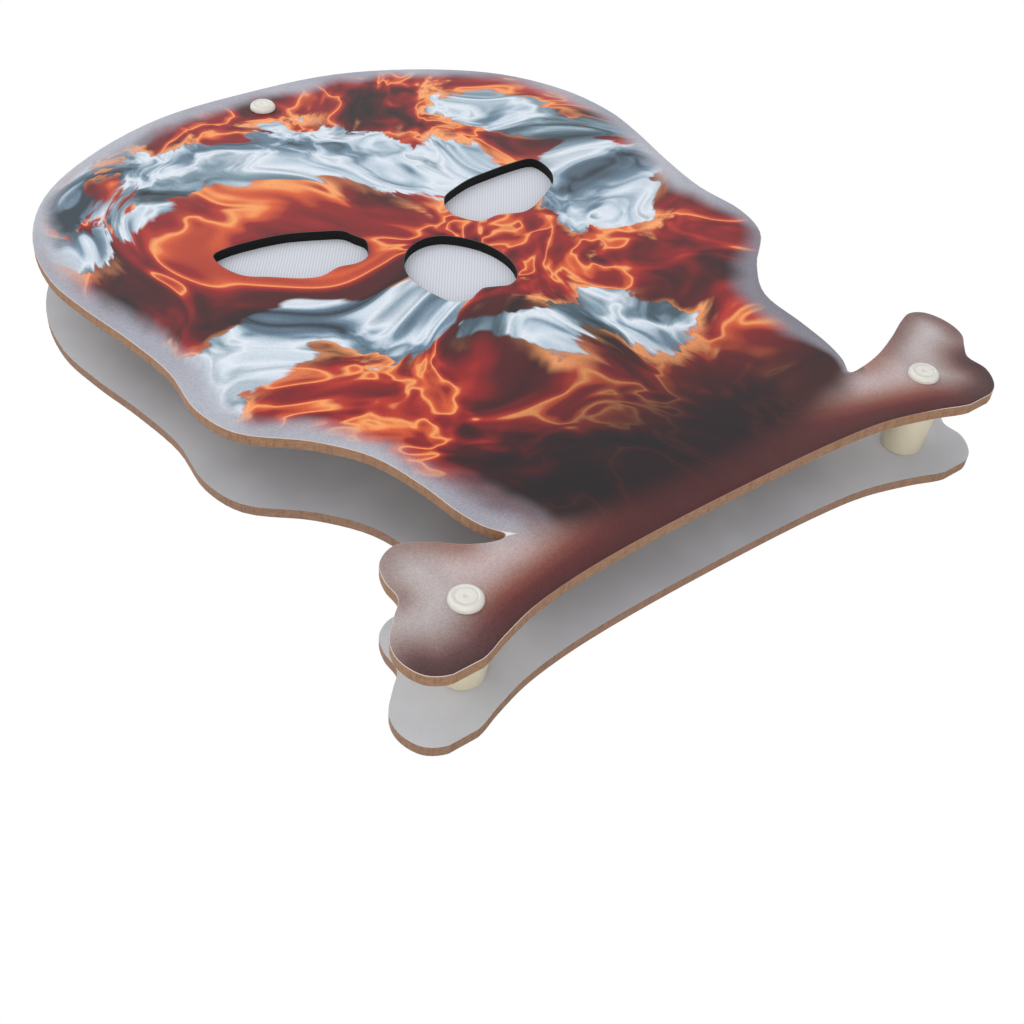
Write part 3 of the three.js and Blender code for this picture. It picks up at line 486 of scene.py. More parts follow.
# %% [markdown]
# ## The plates
# Both plates are 3 mm fibreboard, cut to one outline. The cut edge is brown, with the darker fibres of
# the pressed layers along it. The edges of the openings were painted black. The back plate is bare
# board behind and has a matt white coat in front, which the gap between the plates shows.
# The CAD solids have the right shape, so they stay and get better materials.

# %% Board colours
BOARD_FACE = srgb(147, 114, 94)
BOARD_SPECK = srgb(98, 70, 55)
PALE_FIBRE = srgb(186, 156, 132)
FRONT_EDGE = srgb(147, 112, 87)
# painted shade: the back plate's cut edge is a little darker than the front plate's, for the shade between
# the two plates
SHADED_BACK_EDGE = srgb(138, 107, 88)
SAWN_STREAK = srgb(92, 64, 46)
BLACK_PAINT = (0.006, 0.006, 0.006)
COAT_DARKER = srgb(184, 185, 189)
COAT_LIGHTER = srgb(196, 197, 200)
print("board colours from", [round(v, 3) for v in SAWN_STREAK], "to", [round(v, 3) for v in PALE_FIBRE])

# %% [markdown]
# The openings' edges are black and the outline's are brown. The openings all lie in one box that the
# outline stays out of, so a material can tell the two kinds of edge by their place.

# %% The openings' box
OPENINGS_ASIDE = 62.5 * MM   # half the width of the box
OPENINGS_MIDDLE = 140.5 * MM
OPENINGS_ABOVE = 32.5 * MM   # half its height


def by_openings(tree):
    """1 in the box that holds the three openings of the front plate, and 0 outside it."""
    point = split(tree, place(tree))
    beside = maths(tree, "ABSOLUTE", point["X"])
    above = maths(tree, "ABSOLUTE", maths(tree, "SUBTRACT", point["Z"], OPENINGS_MIDDLE))
    in_width = maths(tree, "LESS_THAN", beside, OPENINGS_ASIDE)
    return maths(tree, "MULTIPLY", in_width, maths(tree, "LESS_THAN", above, OPENINGS_ABOVE))


print("openings lie from", OPENINGS_MIDDLE - OPENINGS_ABOVE, "to", OPENINGS_MIDDLE + OPENINGS_ABOVE)

# %% [markdown]
# ## The board's surfaces
# A face shows the pressed fibres lying in it. A cut edge shows the layers that they were pressed in, and
# darker streaks where the saw went through them, short along the edge and long across it.

# %% Board surfaces
def board_face(tree, where, fibres):
    """Pressed fibres about a millimetre long, soft clouds, dark specks and some paler, curled fibres."""
    clouds = ramp(tree, noise(tree, where, 22.0, 3.0), 0.35, 0.65, 0.0, 0.22)
    specks = ramp(tree, noise(tree, where, 1500.0, 2.0), 0.66, 0.74)
    curled = bent(tree, where, 500.0, 1.2 * MM, 2.0)
    pale = ramp(tree, noise(tree, curled, 420.0, 4.0, 0.75), 0.55, 0.72, 0.0, 0.3)
    face = blend(tree, ramp(tree, fibres, 0.3, 0.7), shade(BOARD_FACE, 0.82), shade(BOARD_FACE, 1.12))
    face = blend(tree, clouds, face, shade(BOARD_FACE, 0.85))
    face = blend(tree, maths(tree, "MULTIPLY", specks, 0.35), face, BOARD_SPECK)
    return blend(tree, pale, face, PALE_FIBRE)


def board_edge(tree, edge_colour, black_openings):
    """Layers along the cut edge, dark streaks across it where it was sawn, and black in the openings."""
    layers = noise(tree, place(tree, (1, 5, 1)), 500.0, 4.0, 0.65)
    sawn = noise(tree, place(tree, (1, 0.15, 1)), 1500.0, 3.0, 0.6)
    layered = ramp(tree, layers, 0.3, 0.7)
    edge = blend(tree, layered, shade(edge_colour, 0.8), shade(edge_colour, 1.12))
    edge = blend(tree, ramp(tree, sawn, 0.46, 0.68, 0.0, 0.35), edge, SAWN_STREAK)
    if black_openings:
        edge = blend(tree, by_openings(tree), edge, BLACK_PAINT)
    return edge


print("board surfaces ready")

# %% [markdown]
# ## The boards' materials
# One material serves a whole plate. It tells the faces from the edges by the direction in which the
# surface looks: along Y on the faces, square to it on the edges.

# %% Fibreboard
FACES_FROM = 0.5             # the share of the direction along Y that makes a surface a face


def fibreboard(name, edge_colour, coated, black_openings):
    """Fibreboard: pressed fibres on its faces, layers along its cut edges, and a white coat in front."""
    made, shader = material(name, Roughness=0.8, Specular_IOR_Level=0.2)
    tree = made.node_tree
    facing = split(tree, node(tree, "NewGeometry").outputs["Normal"])["Y"]
    where = place(tree)
    fibres = noise(tree, where, 900.0, 5.0, 0.7)
    behind = maths(tree, "GREATER_THAN", facing, FACES_FROM)
    edge = board_edge(tree, edge_colour, black_openings)
    colour = blend(tree, behind, edge, board_face(tree, where, fibres))
    if coated:
        clouds = ramp(tree, noise(tree, where, 30.0, 3.0), 0.35, 0.65)
        coat = blend(tree, clouds, COAT_DARKER, COAT_LIGHTER)
        colour = blend(tree, maths(tree, "LESS_THAN", facing, -FACES_FROM), colour, coat)
    tree.links.new(colour, shader.inputs["Base Color"])
    tree.links.new(ramp(tree, fibres, 0.3, 0.7, 0.9, 0.72, soft=False), shader.inputs["Roughness"])
    tree.links.new(bump(tree, fibres, 0.35, 0.08 * MM), shader.inputs["Normal"])
    return made


front_board = fibreboard("front_fibreboard", FRONT_EDGE, coated=False, black_openings=True)
back_board = fibreboard("back_fibreboard", SHADED_BACK_EDGE, coated=True, black_openings=False)
for name, finish in (("front_plate", front_board), ("back_plate", back_board)):
    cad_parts[name].data.materials.clear()
    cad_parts[name].data.materials.append(finish)

# %% [markdown]
# ## The film's outline
# The picture is printed on a white film that is pressed onto the front plate. The film is its own thin
# closed sheet here, and its outline is the plate's own, so the lines round the plate's front face and
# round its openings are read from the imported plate.

# %% Lines round a face
FRONT_Y = -13.5 * MM
ON_FACE = 0.01 * MM  # a point this near to the face is on it


def edge_loops(node_name, y):
    """The closed lines round the flat face of a CAD node at that y, as arrays of (x, z).

    A side that only one triangle of the face has lies on such a line, and each line is followed from side
    to side until it closes. The widest line comes first."""
    points, triangles = joined_triangles(node_name)
    off_face = np.abs(points[triangles][:, :, 1] - y).max(axis=1)
    chosen = triangles[off_face < ON_FACE]
    sides = np.vstack([chosen[:, [0, 1]], chosen[:, [1, 2]], chosen[:, [2, 0]]])
    known = set(map(tuple, sides.tolist()))
    following = {a: b for a, b in known if (b, a) not in known}
    loops = []
    while following:
        start, here = following.popitem()
        loop = [start]
        while here != start:
            loop.append(here)
            here = following.pop(here)
        loops.append(points[loop][:, [0, 2]])
    return sorted(loops, key=lambda loop: -np.ptp(loop[:, 0]))


def inset(loop, size, outer):
    """The loop moved by size into the board. The normal at a point is the mean of its two edges' ones."""
    ahead = np.roll(loop, -1, axis=0) - loop
    ahead /= np.linalg.norm(ahead, axis=1, keepdims=True)
    mean = ahead + np.roll(ahead, 1, axis=0)
    mean /= np.linalg.norm(mean, axis=1, keepdims=True)
    area = 0.5 * np.sum(loop[:, 0] * np.roll(loop[:, 1], -1) - loop[:, 1] * np.roll(loop[:, 0], -1))
    inward = np.stack([-mean[:, 1], mean[:, 0]], -1) * np.sign(area)
    return loop + inward * (size if outer else -size)


plate_loops = edge_loops("front_plate", FRONT_Y)
print("outline and openings", [len(loop) for loop in plate_loops], "points")

# %% [markdown]
# ## Filling a face with a fine grid
# The print has to know how far each of its points is from the plate's edge, so the film's face is a fine
# grid of triangles between those lines. A Delaunay filling joins the grid's points to the lines' points.

# %% Filled areas
CLEAR_OF_RIM = 0.55  # how near to the rim, in grid steps, an inner point may lie
SAME_POINT = 1e-9


def inside_loops(points, loops):
    """True for each point that a line to the right of it leaves an odd number of times."""
    result = np.zeros(len(points), bool)
    for loop in loops:
        for (ax, az), (bx, bz) in zip(loop, np.roll(loop, -1, axis=0)):
            crosses = (az > points[:, 1]) != (bz > points[:, 1])
            at = ax + (points[:, 1] - az) / (bz - az if bz != az else 1.0) * (bx - ax)
            result ^= crosses & (points[:, 0] < at)
    return result


def distance_to(points, starts, ends):
    """The least distance from each point to the stretches: |p - a - t (b - a)| with t kept in 0 to 1."""
    least = np.full(len(points), np.inf)
    for a, b in zip(starts, ends):
        along = b - a
        t = np.clip((points - a) @ along / along.dot(along), 0, 1)
        least = np.minimum(least, np.linalg.norm(points - a - t[:, None] * along, axis=1))
    return least


def filled(loops, spacing):
    """Triangles that fill the flat area between the loops, with inner points on a grid of this spacing.
    The loops' own points come first, in their order."""
    rim = np.vstack(loops)
    edges, start = [], 0
    for loop in loops:
        count = len(loop)
        edges += [(start + i, start + (i + 1) % count) for i in range(count)]
        start += count
    points = rim
    if spacing:
        low, high = rim.min(axis=0), rim.max(axis=0)
        xs, zs = np.meshgrid(np.arange(low[0], high[0], spacing), np.arange(low[1], high[1], spacing))
        inner = np.stack([xs.ravel(), zs.ravel()], -1)
        inner = inner[inside_loops(inner, loops)]
        near = np.min([distance_to(inner, loop, np.roll(loop, -1, axis=0)) for loop in loops], axis=0)
        points = np.vstack([rim, inner[near > CLEAR_OF_RIM * spacing]])
    made = geometry.delaunay_2d_cdt(points.tolist(), edges, [], 0, SAME_POINT, False)
    corners = np.array([list(v) for v in made[0]])
    triangles = np.array([list(f) for f in made[2]])
    triangles = triangles[inside_loops(corners[triangles].mean(axis=1), loops)]
    assert len(corners) == len(points), "the filling made new points"
    return corners, triangles


print("filling helpers ready")

# %% [markdown]
# ## The film's mesh
# The film is 0.18 mm thick. Its rim goes up from the plate, turns over in a small rounding and shows
# white, because the print doesn't reach round it. Four levels of points make that: two on the plate's
# outline, one on the way round, and the grid on top.

# %% Film
FILM_THICKNESS = 0.18 * MM
FILM_ROUNDING = 0.1 * MM
GRID = 1.3 * MM                   # the steps of the face's grid
HALFWAY_IN = 0.3 * FILM_ROUNDING  # how far inside the outline the level on the way round lies
HALFWAY_DOWN = 0.03 * MM          # and how far behind the face


def raised(flat, height):
    """Flat (x, z) points in front of the plate's face."""
    return np.stack([flat[:, 0], np.full(len(flat), FRONT_Y - height), flat[:, 1]], -1)


shrunk = [inset(loop, FILM_ROUNDING, outer=number == 0) for number, loop in enumerate(plate_loops)]
halfway = [inset(loop, HALFWAY_IN, outer=number == 0) for number, loop in enumerate(plate_loops)]
face_points, face_triangles = filled(shrunk, GRID)
back_points, back_triangles = filled(plate_loops, 0)
rim_count = len(back_points)
rim_levels = [
    (plate_loops, 0.0),
    (plate_loops, FILM_THICKNESS - FILM_ROUNDING),
    (halfway, FILM_THICKNESS - HALFWAY_DOWN),
]
film_points = np.vstack([raised(np.vstack(loops), height) for loops, height in rim_levels]
    + [raised(face_points, FILM_THICKNESS)])
film_faces = back_triangles.tolist()
start = 0
for loop in plate_loops:
    here = start + np.arange(len(loop))
    after = start + (np.arange(len(loop)) + 1) % len(loop)
    for level in range(len(rim_levels)):
        low, high = level * rim_count, (level + 1) * rim_count
        film_faces += np.stack([here + low, after + low, after + high, here + high], -1).tolist()
    start += len(loop)
rim_faces = len(film_faces)
film_faces += (face_triangles + len(rim_levels) * rim_count).tolist()
print("film", len(film_points), "points", len(film_faces), "faces")

# %% [markdown]
# ## What the print needs to know
# The print is a marbled pattern of pale blue, deep red and orange. It fades into a pale, sprayed border
# along the outline, grows dark above the bone, and the bone is shaded brown, light along its middle and
# dark towards its lower edge. A material can't measure how far a point is from the outline, so that is
# worked out once for each point, and the mesh carries the results. In these cells lengths are in
# millimetres, across from the plate's middle and up from its feet, and shares run from 0 to 1.

# %% The skull's edge
LOBE_TOP = 44      # the outline above this height is the skull's
JAW_FOOT = 28      # and above this one, where it is nearer to the middle than JAW_ASIDE
JAW_ASIDE = 66


def step(value, low, high):
    """0 below low, 1 above high, and s = 3t^2 - 2t^3 between them."""
    t = np.clip((value - low) / (high - low), 0, 1)
    return 3 * t ** 2 - 2 * t ** 3


flat = film_points[:, [0, 2]] / MM
across, up = flat[:, 0], flat[:, 1]
sideways = np.abs(across)
starts = plate_loops[0] / MM
ends = np.roll(starts, -1, axis=0)
aside_there, up_there = np.abs(starts[:, 0]), starts[:, 1]
skull_side = (up_there > LOBE_TOP) | (up_there > JAW_FOOT) & (aside_there < JAW_ASIDE)
to_edge = distance_to(flat, starts[skull_side], ends[skull_side])
print("furthest point from the skull's edge", round(float(to_edge.max()), 1), "mm")

# The border widens a little towards the left corner by the bone, and runs out towards the right one
left_jaw = step(-across, 34, 52) * (1 - step(up, 40, 64))
right_jaw = step(across, 30, 45) * (1 - step(up, 26, 52))
to_edge *= 1 - 0.35 * left_jaw + 3.6 * right_jaw

# %% [markdown]
# ## The bone on the print
# The bone's upper line bows up a little from the plate's middle towards its ends, and runs up the inner
# sides of the lobes there. The change from picture to bone is soft in the middle and crisp at the ends.

# %% The bone's upper line
BONE_TOP = 18        # its height in the plate's middle
BOW = 5              # what it rises by, out to BOW_ASIDE
BOW_ASIDE = 55
LOBE_FOOT = 4        # what it rises by where the lobes begin
LOBE_SIDE = 22       # and what it rises by up the lobes' inner sides
CRISP = 2.2          # half the height of the change at the ends

lobe = step(sideways, 22, 62)
beside_jaw = step(sideways, 35, 50) * (1 - step(sideways, 62, 66))
bone_top = BONE_TOP + BOW * np.minimum(sideways / BOW_ASIDE, 1) ** 2
bone_top = bone_top + LOBE_FOOT * step(sideways, 52, 62) + LOBE_SIDE * step(sideways, 64.5, 67)
bone_top += 2.5 * beside_jaw * left_jaw
softness = CRISP + 5 * (1 - lobe) + 3.5 * beside_jaw
bone = 1 - step(up, bone_top - softness, bone_top + softness)
print("points on the bone", int((bone > 0.5).sum()))

# %% [markdown]
# The bone is lightest on the lobes' middle and darkens towards its lower edge and, more quickly, towards
# the lobes' upper edge. So its outline is taken apart into lower, upper and end stretches, and each
# point knows its distance to all three.

# %% The bone's shading
LOWER_EDGE = 12      # the lower stretches lie below this height, and nearer than LOWER_ASIDE
LOWER_ASIDE = 98
UPPER_FROM = 25      # the upper stretches lie from this height to UPPER_TO, beyond UPPER_ASIDE
UPPER_TO = 47
UPPER_ASIDE = 67.5

below = (up_there < LOWER_EDGE) & (aside_there < LOWER_ASIDE)
above = (up_there >= UPPER_FROM) & (up_there < UPPER_TO) & (aside_there > UPPER_ASIDE)
aside = ~below & (up_there < UPPER_FROM)
from_under = distance_to(flat, starts[below], ends[below])
from_top = distance_to(flat, starts[above], ends[above])
from_side = distance_to(flat, starts[aside], ends[aside])

# Even the middle stretch keeps 0.22 of the lobes' light, and the right lobe's top is the darker one
bone_light = step(from_under, -1, 18) * (0.22 + 0.78 * lobe)
top_shade = 0.36 + 0.26 * step(across, 72, 86)
bone_light *= 1 - top_shade * (1 - step(from_top, 0, 9))
bone_light *= 0.9 + 0.1 * step(from_side, 0, 8)
ashen = step(sideways, 66, 90) * (0.6 + 0.4 * step(from_under, 1, 12))
print("bone light up to", round(float(bone_light.max()), 2))

# %% [markdown]
# ## Dark parts and pools
# Above the bone the picture grows dark, highest in the middle, and low down at the right the border is
# a darker slate. The pale blue of the marbling lies in pools along three lines of points across the
# plate, and deep red and orange fill the rest.

# %% Dark parts and pools
low_dark = 1 - step(up, 34, 88 - 26 * sideways / 60)
slate = step(across, 20, 80) * (1 - step(up, 60, 130))


def stream(points, wide):
    """A band along a line of points: 1 - d / wide, d being the distance to the line, and never below -1."""
    points = np.array(points, dtype=float)
    return np.maximum(1 - distance_to(flat, points[:-1], points[1:]) / wide, -1)


pools = np.max([
    stream([(-84, 190), (-44, 214), (0, 206), (24, 176)], 24),
    stream([(66, 206), (80, 172), (60, 128)], 20),
    stream([(-82, 118), (-52, 132), (-14, 100), (26, 82)], 20),
], axis=0)
print("points in the pools", int((pools > 0).sum()))

# %% [markdown]
# ## The marbling
# Marbling is paint drawn out by stirring. Here soft noise is the paint, and its coordinates are bent
# twice by other noise, first in large and then in small swirls, which is the stirring. Two colour ramps
# turn the noise into a hot part with thin bright veins and a cold part with a wet shine. The pools'
# shore is broken up by noise too, and glows in places.

# %% Marbling
MARBLE_SCALE = (11, 0, 11)  # eleven units of the pattern in a metre, and none through the film
EMBER = srgb(240, 158, 98)

printed, shader = material("print", Roughness=0.5, Specular_IOR_Level=0.25)
tree = printed.node_tree


def kept(name):
    """A number that each point of the mesh carries."""
    return node(tree, "Attribute", attribute_name=name).outputs["Fac"]


once = bent(tree, place(tree, MARBLE_SCALE), 1.0, 1.5, 1.0)
twice = bent(tree, once, 2.2, 0.7, 2.0)
streams = noise(tree, twice, 1.7, 3.0, 0.55)
hot = colours(tree, streams, [
    (0.32, srgb(22, 8, 12)), (0.41, srgb(76, 12, 18)), (0.46, srgb(134, 20, 24)),
    (0.488, srgb(178, 48, 34)), (0.502, srgb(240, 158, 92)), (0.516, srgb(208, 86, 44)),
    (0.55, srgb(140, 24, 26)), (0.66, srgb(62, 12, 18)),
])
shine = noise(tree, bent(tree, twice, 1.4, 1.2, 2.0), 1.5, 4.0, 0.55)
cold = colours(tree, shine, [
    (0.32, srgb(18, 24, 30)), (0.40, srgb(66, 86, 98)), (0.45, srgb(128, 150, 164)),
    (0.495, srgb(216, 222, 230)), (0.53, srgb(184, 198, 210)), (0.575, srgb(104, 128, 146)),
    (0.66, srgb(40, 52, 64)),
])
ragged = ramp(tree, noise(tree, twice, 1.5, 5.0, 0.6), 0.25, 0.75, -1.15, 1.15, soft=False)

# The shore's number grows inwards: to 0.20 lies the hot part, from 0.31 the cold one, and it glows
# where the hot part ends
shore = maths(tree, "ADD", kept("pools"), ragged)
in_pool = ramp(tree, shore, 0.20, 0.31)
glow = maths(tree, "MULTIPLY", ramp(tree, shore, -0.12, 0.18), ramp(tree, shore, 0.28, 0.20))
flicker = ramp(tree, noise(tree, twice, 3.0, 2.0), 0.38, 0.6)
picture = blend(tree, in_pool, hot, cold)
picture = blend(tree, maths(tree, "MULTIPLY", glow, flicker), picture, EMBER)
print("marbling", len(tree.nodes), "nodes")

# %% [markdown]
# ## The dark part and the border
# Above the bone the picture is multiplied by a dark red and half covered by a near black. The border is
# sprayed over the picture: noise moves its inner limit by some millimetres, and it covers all within a
# millimetre of the edge and nothing from ten. Its two greys drift into slate and, at the left corner, a
# dusty brown.

# %% Dark part and border
DARK_RED = srgb(70, 40, 44)
NEAR_BLACK = srgb(22, 18, 26)
DEEP_BROWN = srgb(74, 30, 30)
BORDER_DARKER = srgb(152, 152, 163)
BORDER_LIGHTER = srgb(171, 172, 181)
SLATE = srgb(112, 108, 118)
DUSTY_BROWN = srgb(128, 106, 112)

dimmed = blend(tree, 1.0, picture, DARK_RED, "MULTIPLY")
darkest = blend(tree, kept("right_jaw"), NEAR_BLACK, DEEP_BROWN)
picture = blend(tree, kept("low_dark"), picture, blend(tree, 0.5, dimmed, darkest))
drift = ramp(tree, noise(tree, once, 2.2, 3.0), 0.25, 0.75, -5.0, 4.5, soft=False)
spray = ramp(tree, maths(tree, "ADD", kept("to_edge"), drift), 10.0, 1.0)
cloudy = ramp(tree, noise(tree, once, 1.6, 2.0), 0.35, 0.65)
pale = blend(tree, cloudy, BORDER_DARKER, BORDER_LIGHTER)
pale = blend(tree, kept("slate"), pale, SLATE)
from_rim = ramp(tree, kept("to_edge"), 1.0, 7.0, 0.15, 1.0)
pale = blend(tree, maths(tree, "MULTIPLY", kept("left_jaw"), from_rim), pale, DUSTY_BROWN)
picture = blend(tree, spray, picture, pale)
print("border", len(tree.nodes), "nodes")

# %% [markdown]
# ## The bone's colours
# A colour ramp turns the bone's light into browns, from a dark red brown to a pale grey one. A little
# grime lies over it, and the ends are more ashen than the middle.

# %% Bone colours
GRIME = srgb(84, 52, 50)

bone_colour = colours(tree, kept("bone_light"), [
    (0.0, srgb(66, 24, 26)), (0.2, srgb(90, 34, 34)), (0.4, srgb(122, 64, 56)),
    (0.62, srgb(148, 108, 98)), (0.82, srgb(169, 143, 138)), (1.0, srgb(182, 163, 162)),
])
grime = ramp(tree, noise(tree, place(tree), 60.0, 3.0), 0.35, 0.7, 0.0, 0.2)
bone_colour = blend(tree, grime, bone_colour, GRIME)
vivid = ramp(tree, kept("ashen"), 0.0, 1.0, 1.0, 0.55)
ashen_bone = node(tree, "HueSaturation", {"Color": bone_colour, "Saturation": vivid}).outputs["Color"]
picture = blend(tree, kept("bone"), picture, ashen_bone)
print("bone", len(tree.nodes), "nodes")

# %% [markdown]
# ## Bare film and canvas
# In the left corner between skull and bone the print stops short and leaves a wedge of bare white film.
# It widens from a tip on the plate up to the outline. The whole print has the fine grain of canvas: it
# lightens and darkens the colours, and makes the surface a little uneven and its gloss broken.

# %% Bare wedge and canvas
BARE_FILM = srgb(214, 210, 206)
TIP_X, TIP_Z = -55.7, 26.9       # the wedge's tip, in millimetres
AHEAD_X, AHEAD_Z = -0.877, 0.48  # the direction from its tip
WIDENS = 0.3                     # half its width for each millimetre of its length

in_mm = split(tree, place(tree, (1 / MM, 1 / MM, 1 / MM)))
right = maths(tree, "ADD", in_mm["X"], -TIP_X)
over = maths(tree, "ADD", in_mm["Z"], -TIP_Z)
along = maths(tree, "SUBTRACT",
    maths(tree, "MULTIPLY", over, AHEAD_Z), maths(tree, "MULTIPLY", right, -AHEAD_X))
beside = maths(tree, "ADD",
    maths(tree, "MULTIPLY", over, -AHEAD_X), maths(tree, "MULTIPLY", right, AHEAD_Z))
within = maths(tree, "SUBTRACT", maths(tree, "MULTIPLY", along, WIDENS), maths(tree, "ABSOLUTE", beside))
wedge = maths(tree, "MULTIPLY", ramp(tree, within, -0.12, 0.12), ramp(tree, along, 4.6, 4.3))
picture = blend(tree, wedge, picture, BARE_FILM)
canvas = noise(tree, place(tree), 2600.0, 2.0, 0.7)
grain = colours(tree, canvas, [(0.3, (0.1, 0.1, 0.1)), (0.7, (0.9, 0.9, 0.9))])
picture = blend(tree, 0.3, picture, grain, "SOFT_LIGHT")
tree.links.new(picture, shader.inputs["Base Color"])
tree.links.new(ramp(tree, canvas, 0.3, 0.7, 0.36, 0.52, soft=False), shader.inputs["Roughness"])
tree.links.new(bump(tree, canvas, 0.4, 0.05 * MM), shader.inputs["Normal"])
print("print", len(tree.nodes), "nodes")

# %% [markdown]
# ## The film's rim
# The film's cut rim is white with a breath of board dust. Low along the bone's middle it is brown,
# and round the openings it was painted together with the board's edge.

# %% Film rim
RIM_DUSTY = srgb(182, 164, 152)
RIM_CLEAN = srgb(214, 200, 190)
RIM_BROWN_LOW = srgb(140, 104, 90)
RIM_PAINTED = srgb(70, 62, 64)

film_rim, rim_shader = material("film_rim", Roughness=0.5)
rim_tree = film_rim.node_tree
rim_colour = blend(rim_tree, noise(rim_tree, place(rim_tree), 700.0, 2.0), RIM_DUSTY, RIM_CLEAN)
rim_point = split(rim_tree, place(rim_tree))
rim_middle = ramp(rim_tree, maths(rim_tree, "ABSOLUTE", rim_point["X"]), 75 * MM, 60 * MM)
rim_low = ramp(rim_tree, rim_point["Z"], 19 * MM, 14 * MM)
# the rim turns brown low down along the bone's middle
rim_colour = blend(rim_tree, maths(rim_tree, "MULTIPLY", rim_middle, rim_low), rim_colour, RIM_BROWN_LOW)
rim_colour = blend(rim_tree, by_openings(rim_tree), rim_colour, RIM_PAINTED)
rim_tree.links.new(rim_colour, rim_shader.inputs["Base Color"])
print("rim", len(rim_tree.nodes), "nodes")

# %% [markdown]
# Now the film can be made. Its first faces, the back and the rim, take the rim's material and the rest
# takes the print, and every point gets the numbers that the print reads.

# %% Printed film
on_rim = np.arange(len(film_faces)) < rim_faces
film = piece("print_sheet", film_points, film_faces, "frame", [printed, film_rim],
    crease=50.0, face_materials=on_rim)
kept_numbers = {
    "to_edge": to_edge, "bone": bone, "bone_light": bone_light, "low_dark": low_dark, "pools": pools,
    "slate": slate, "ashen": ashen, "left_jaw": left_jaw, "right_jaw": right_jaw,
}
for name, values in kept_numbers.items():
    attribute = film.data.attributes.new(name, "FLOAT", "POINT")
    attribute.data.foreach_set("value", values.astype(np.float32))
print("printed film", len(film.data.polygons), "faces")

# %% [markdown]
# ## The cloth
# A ribbed white cloth is glued behind the openings, so that the lamps light it evenly. It is a sheet of
# two grids, a front and a back one, joined by a hem round their border. It swells by a twentieth of a
# millimetre: the swell is sin(pi u) sin(pi v), u and v being the shares of its width and height.

# %% Cloth shape
CLOTH_COLUMNS, CLOTH_ROWS = 91, 51
SWELL = 0.05 * MM

cloth_low, cloth_high = (np.array(v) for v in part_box("diffuser_cloth"))
xs = np.linspace(cloth_low[0], cloth_high[0], CLOTH_COLUMNS)
zs = np.linspace(cloth_low[2], cloth_high[2], CLOTH_ROWS)
grid_x, grid_z = np.meshgrid(xs, zs)
swell = np.sin(np.pi * (grid_x - xs[0]) / (xs[-1] - xs[0]))
swell = swell * np.sin(np.pi * (grid_z - zs[0]) / (zs[-1] - zs[0]))
cloth_front = np.stack([grid_x, cloth_low[1] + SWELL * (1 - swell), grid_z], -1)
cloth_back = np.stack([grid_x, cloth_high[1] - SWELL * swell, grid_z], -1)
sheet_points = np.vstack([cloth_front.reshape(-1, 3), cloth_back.reshape(-1, 3)])
one_side = np.array(grid_faces(CLOTH_ROWS, CLOTH_COLUMNS, wrap_columns=False))
count = CLOTH_ROWS * CLOTH_COLUMNS
border_line = np.concatenate([
    np.arange(CLOTH_COLUMNS),
    np.arange(1, CLOTH_ROWS) * CLOTH_COLUMNS + CLOTH_COLUMNS - 1,
    (CLOTH_ROWS - 1) * CLOTH_COLUMNS + np.arange(CLOTH_COLUMNS - 2, -1, -1),
    np.arange(CLOTH_ROWS - 2, 0, -1) * CLOTH_COLUMNS,
])
next_line = np.roll(border_line, -1)
hem = np.stack([border_line, next_line, next_line + count, border_line + count], -1)
sheet_faces = one_side.tolist() + (one_side + count).tolist() + hem.tolist()
print("cloth", len(sheet_points), "points", len(sheet_faces), "faces")

# %% [markdown]
# The cloth's ribs are 0.85 mm apart and lean over to the right, because the cloth was cut on the bias.
# In the material they are a cosine across that direction, broken up by threads of 0.4 mm; their colour is
# painted shade in the grooves and painted light on the ribs.

# %% Cloth finish
LEAN = math.radians(37)
RIB = 0.85 * MM
# painted shade in the grooves between the ribs, and painted light on the ribs, for the relief of the weave
SHADED_GROOVES = srgb(190, 191, 200)
LIT_RIBS = srgb(213, 214, 222)
GREYER = srgb(188, 188, 196)

weave, shader = material("ribbed_cloth", Roughness=0.9, Sheen_Weight=0.25)
tree = weave.node_tree
threads = noise(tree, place(tree, (1, 1, 1.6)), 2400.0, 3.0, 0.7)
clouds = ramp(tree, noise(tree, place(tree), 60.0, 2.0), 0.4, 0.7, 0.0, 0.15)
point = split(tree, place(tree))
waves_x = maths(tree, "MULTIPLY", point["X"], math.cos(LEAN) * 2 * math.pi / RIB)
waves_z = maths(tree, "MULTIPLY", point["Z"], math.sin(LEAN) * 2 * math.pi / RIB)
ribs = ramp(tree, maths(tree, "COSINE", maths(tree, "SUBTRACT", waves_x, waves_z)), -1.0, 1.0, 0.0, 1.0)
ribs = maths(tree, "MULTIPLY", ribs, ramp(tree, threads, 0.3, 0.7, 0.6, 1.0))
# the ribs' colour is painted light and shade: darker in the grooves, lighter on the ribs
cloth_colour = blend(tree, ribs, SHADED_GROOVES, LIT_RIBS)
cloth_colour = blend(tree, clouds, cloth_colour, GREYER)
tree.links.new(cloth_colour, shader.inputs["Base Color"])
tree.links.new(bump(tree, ribs, 0.4, 0.05 * MM), shader.inputs["Normal"])
cloth = piece("cloth_sheet", sheet_points, sheet_faces, "frame", [weave],
    ("diffuser_cloth",), 70.0)

# %% [markdown]
# ## The rivets
# Each of the three rivets is a cream spacer between the plates, an ivory post with a broad flat head
# behind the back plate, and a small ivory cap in front whose stem is pressed into the post. The cap has
# a rounded rim, a groove inside it, a raised middle and a dimple. All are turned, and their profiles are
# lists of (radius, depth, rounding) in millimetres, the depth being Y: minus in front, plus behind.

# %% Rivets
RIVETS = {"top": (-1.77, 241.39), "left": (-78.18, 15.81), "right": (76.84, 15.81)}
FILM_FRONT = (FRONT_Y - FILM_THICKNESS) / MM
CAP_STEM = 1.5

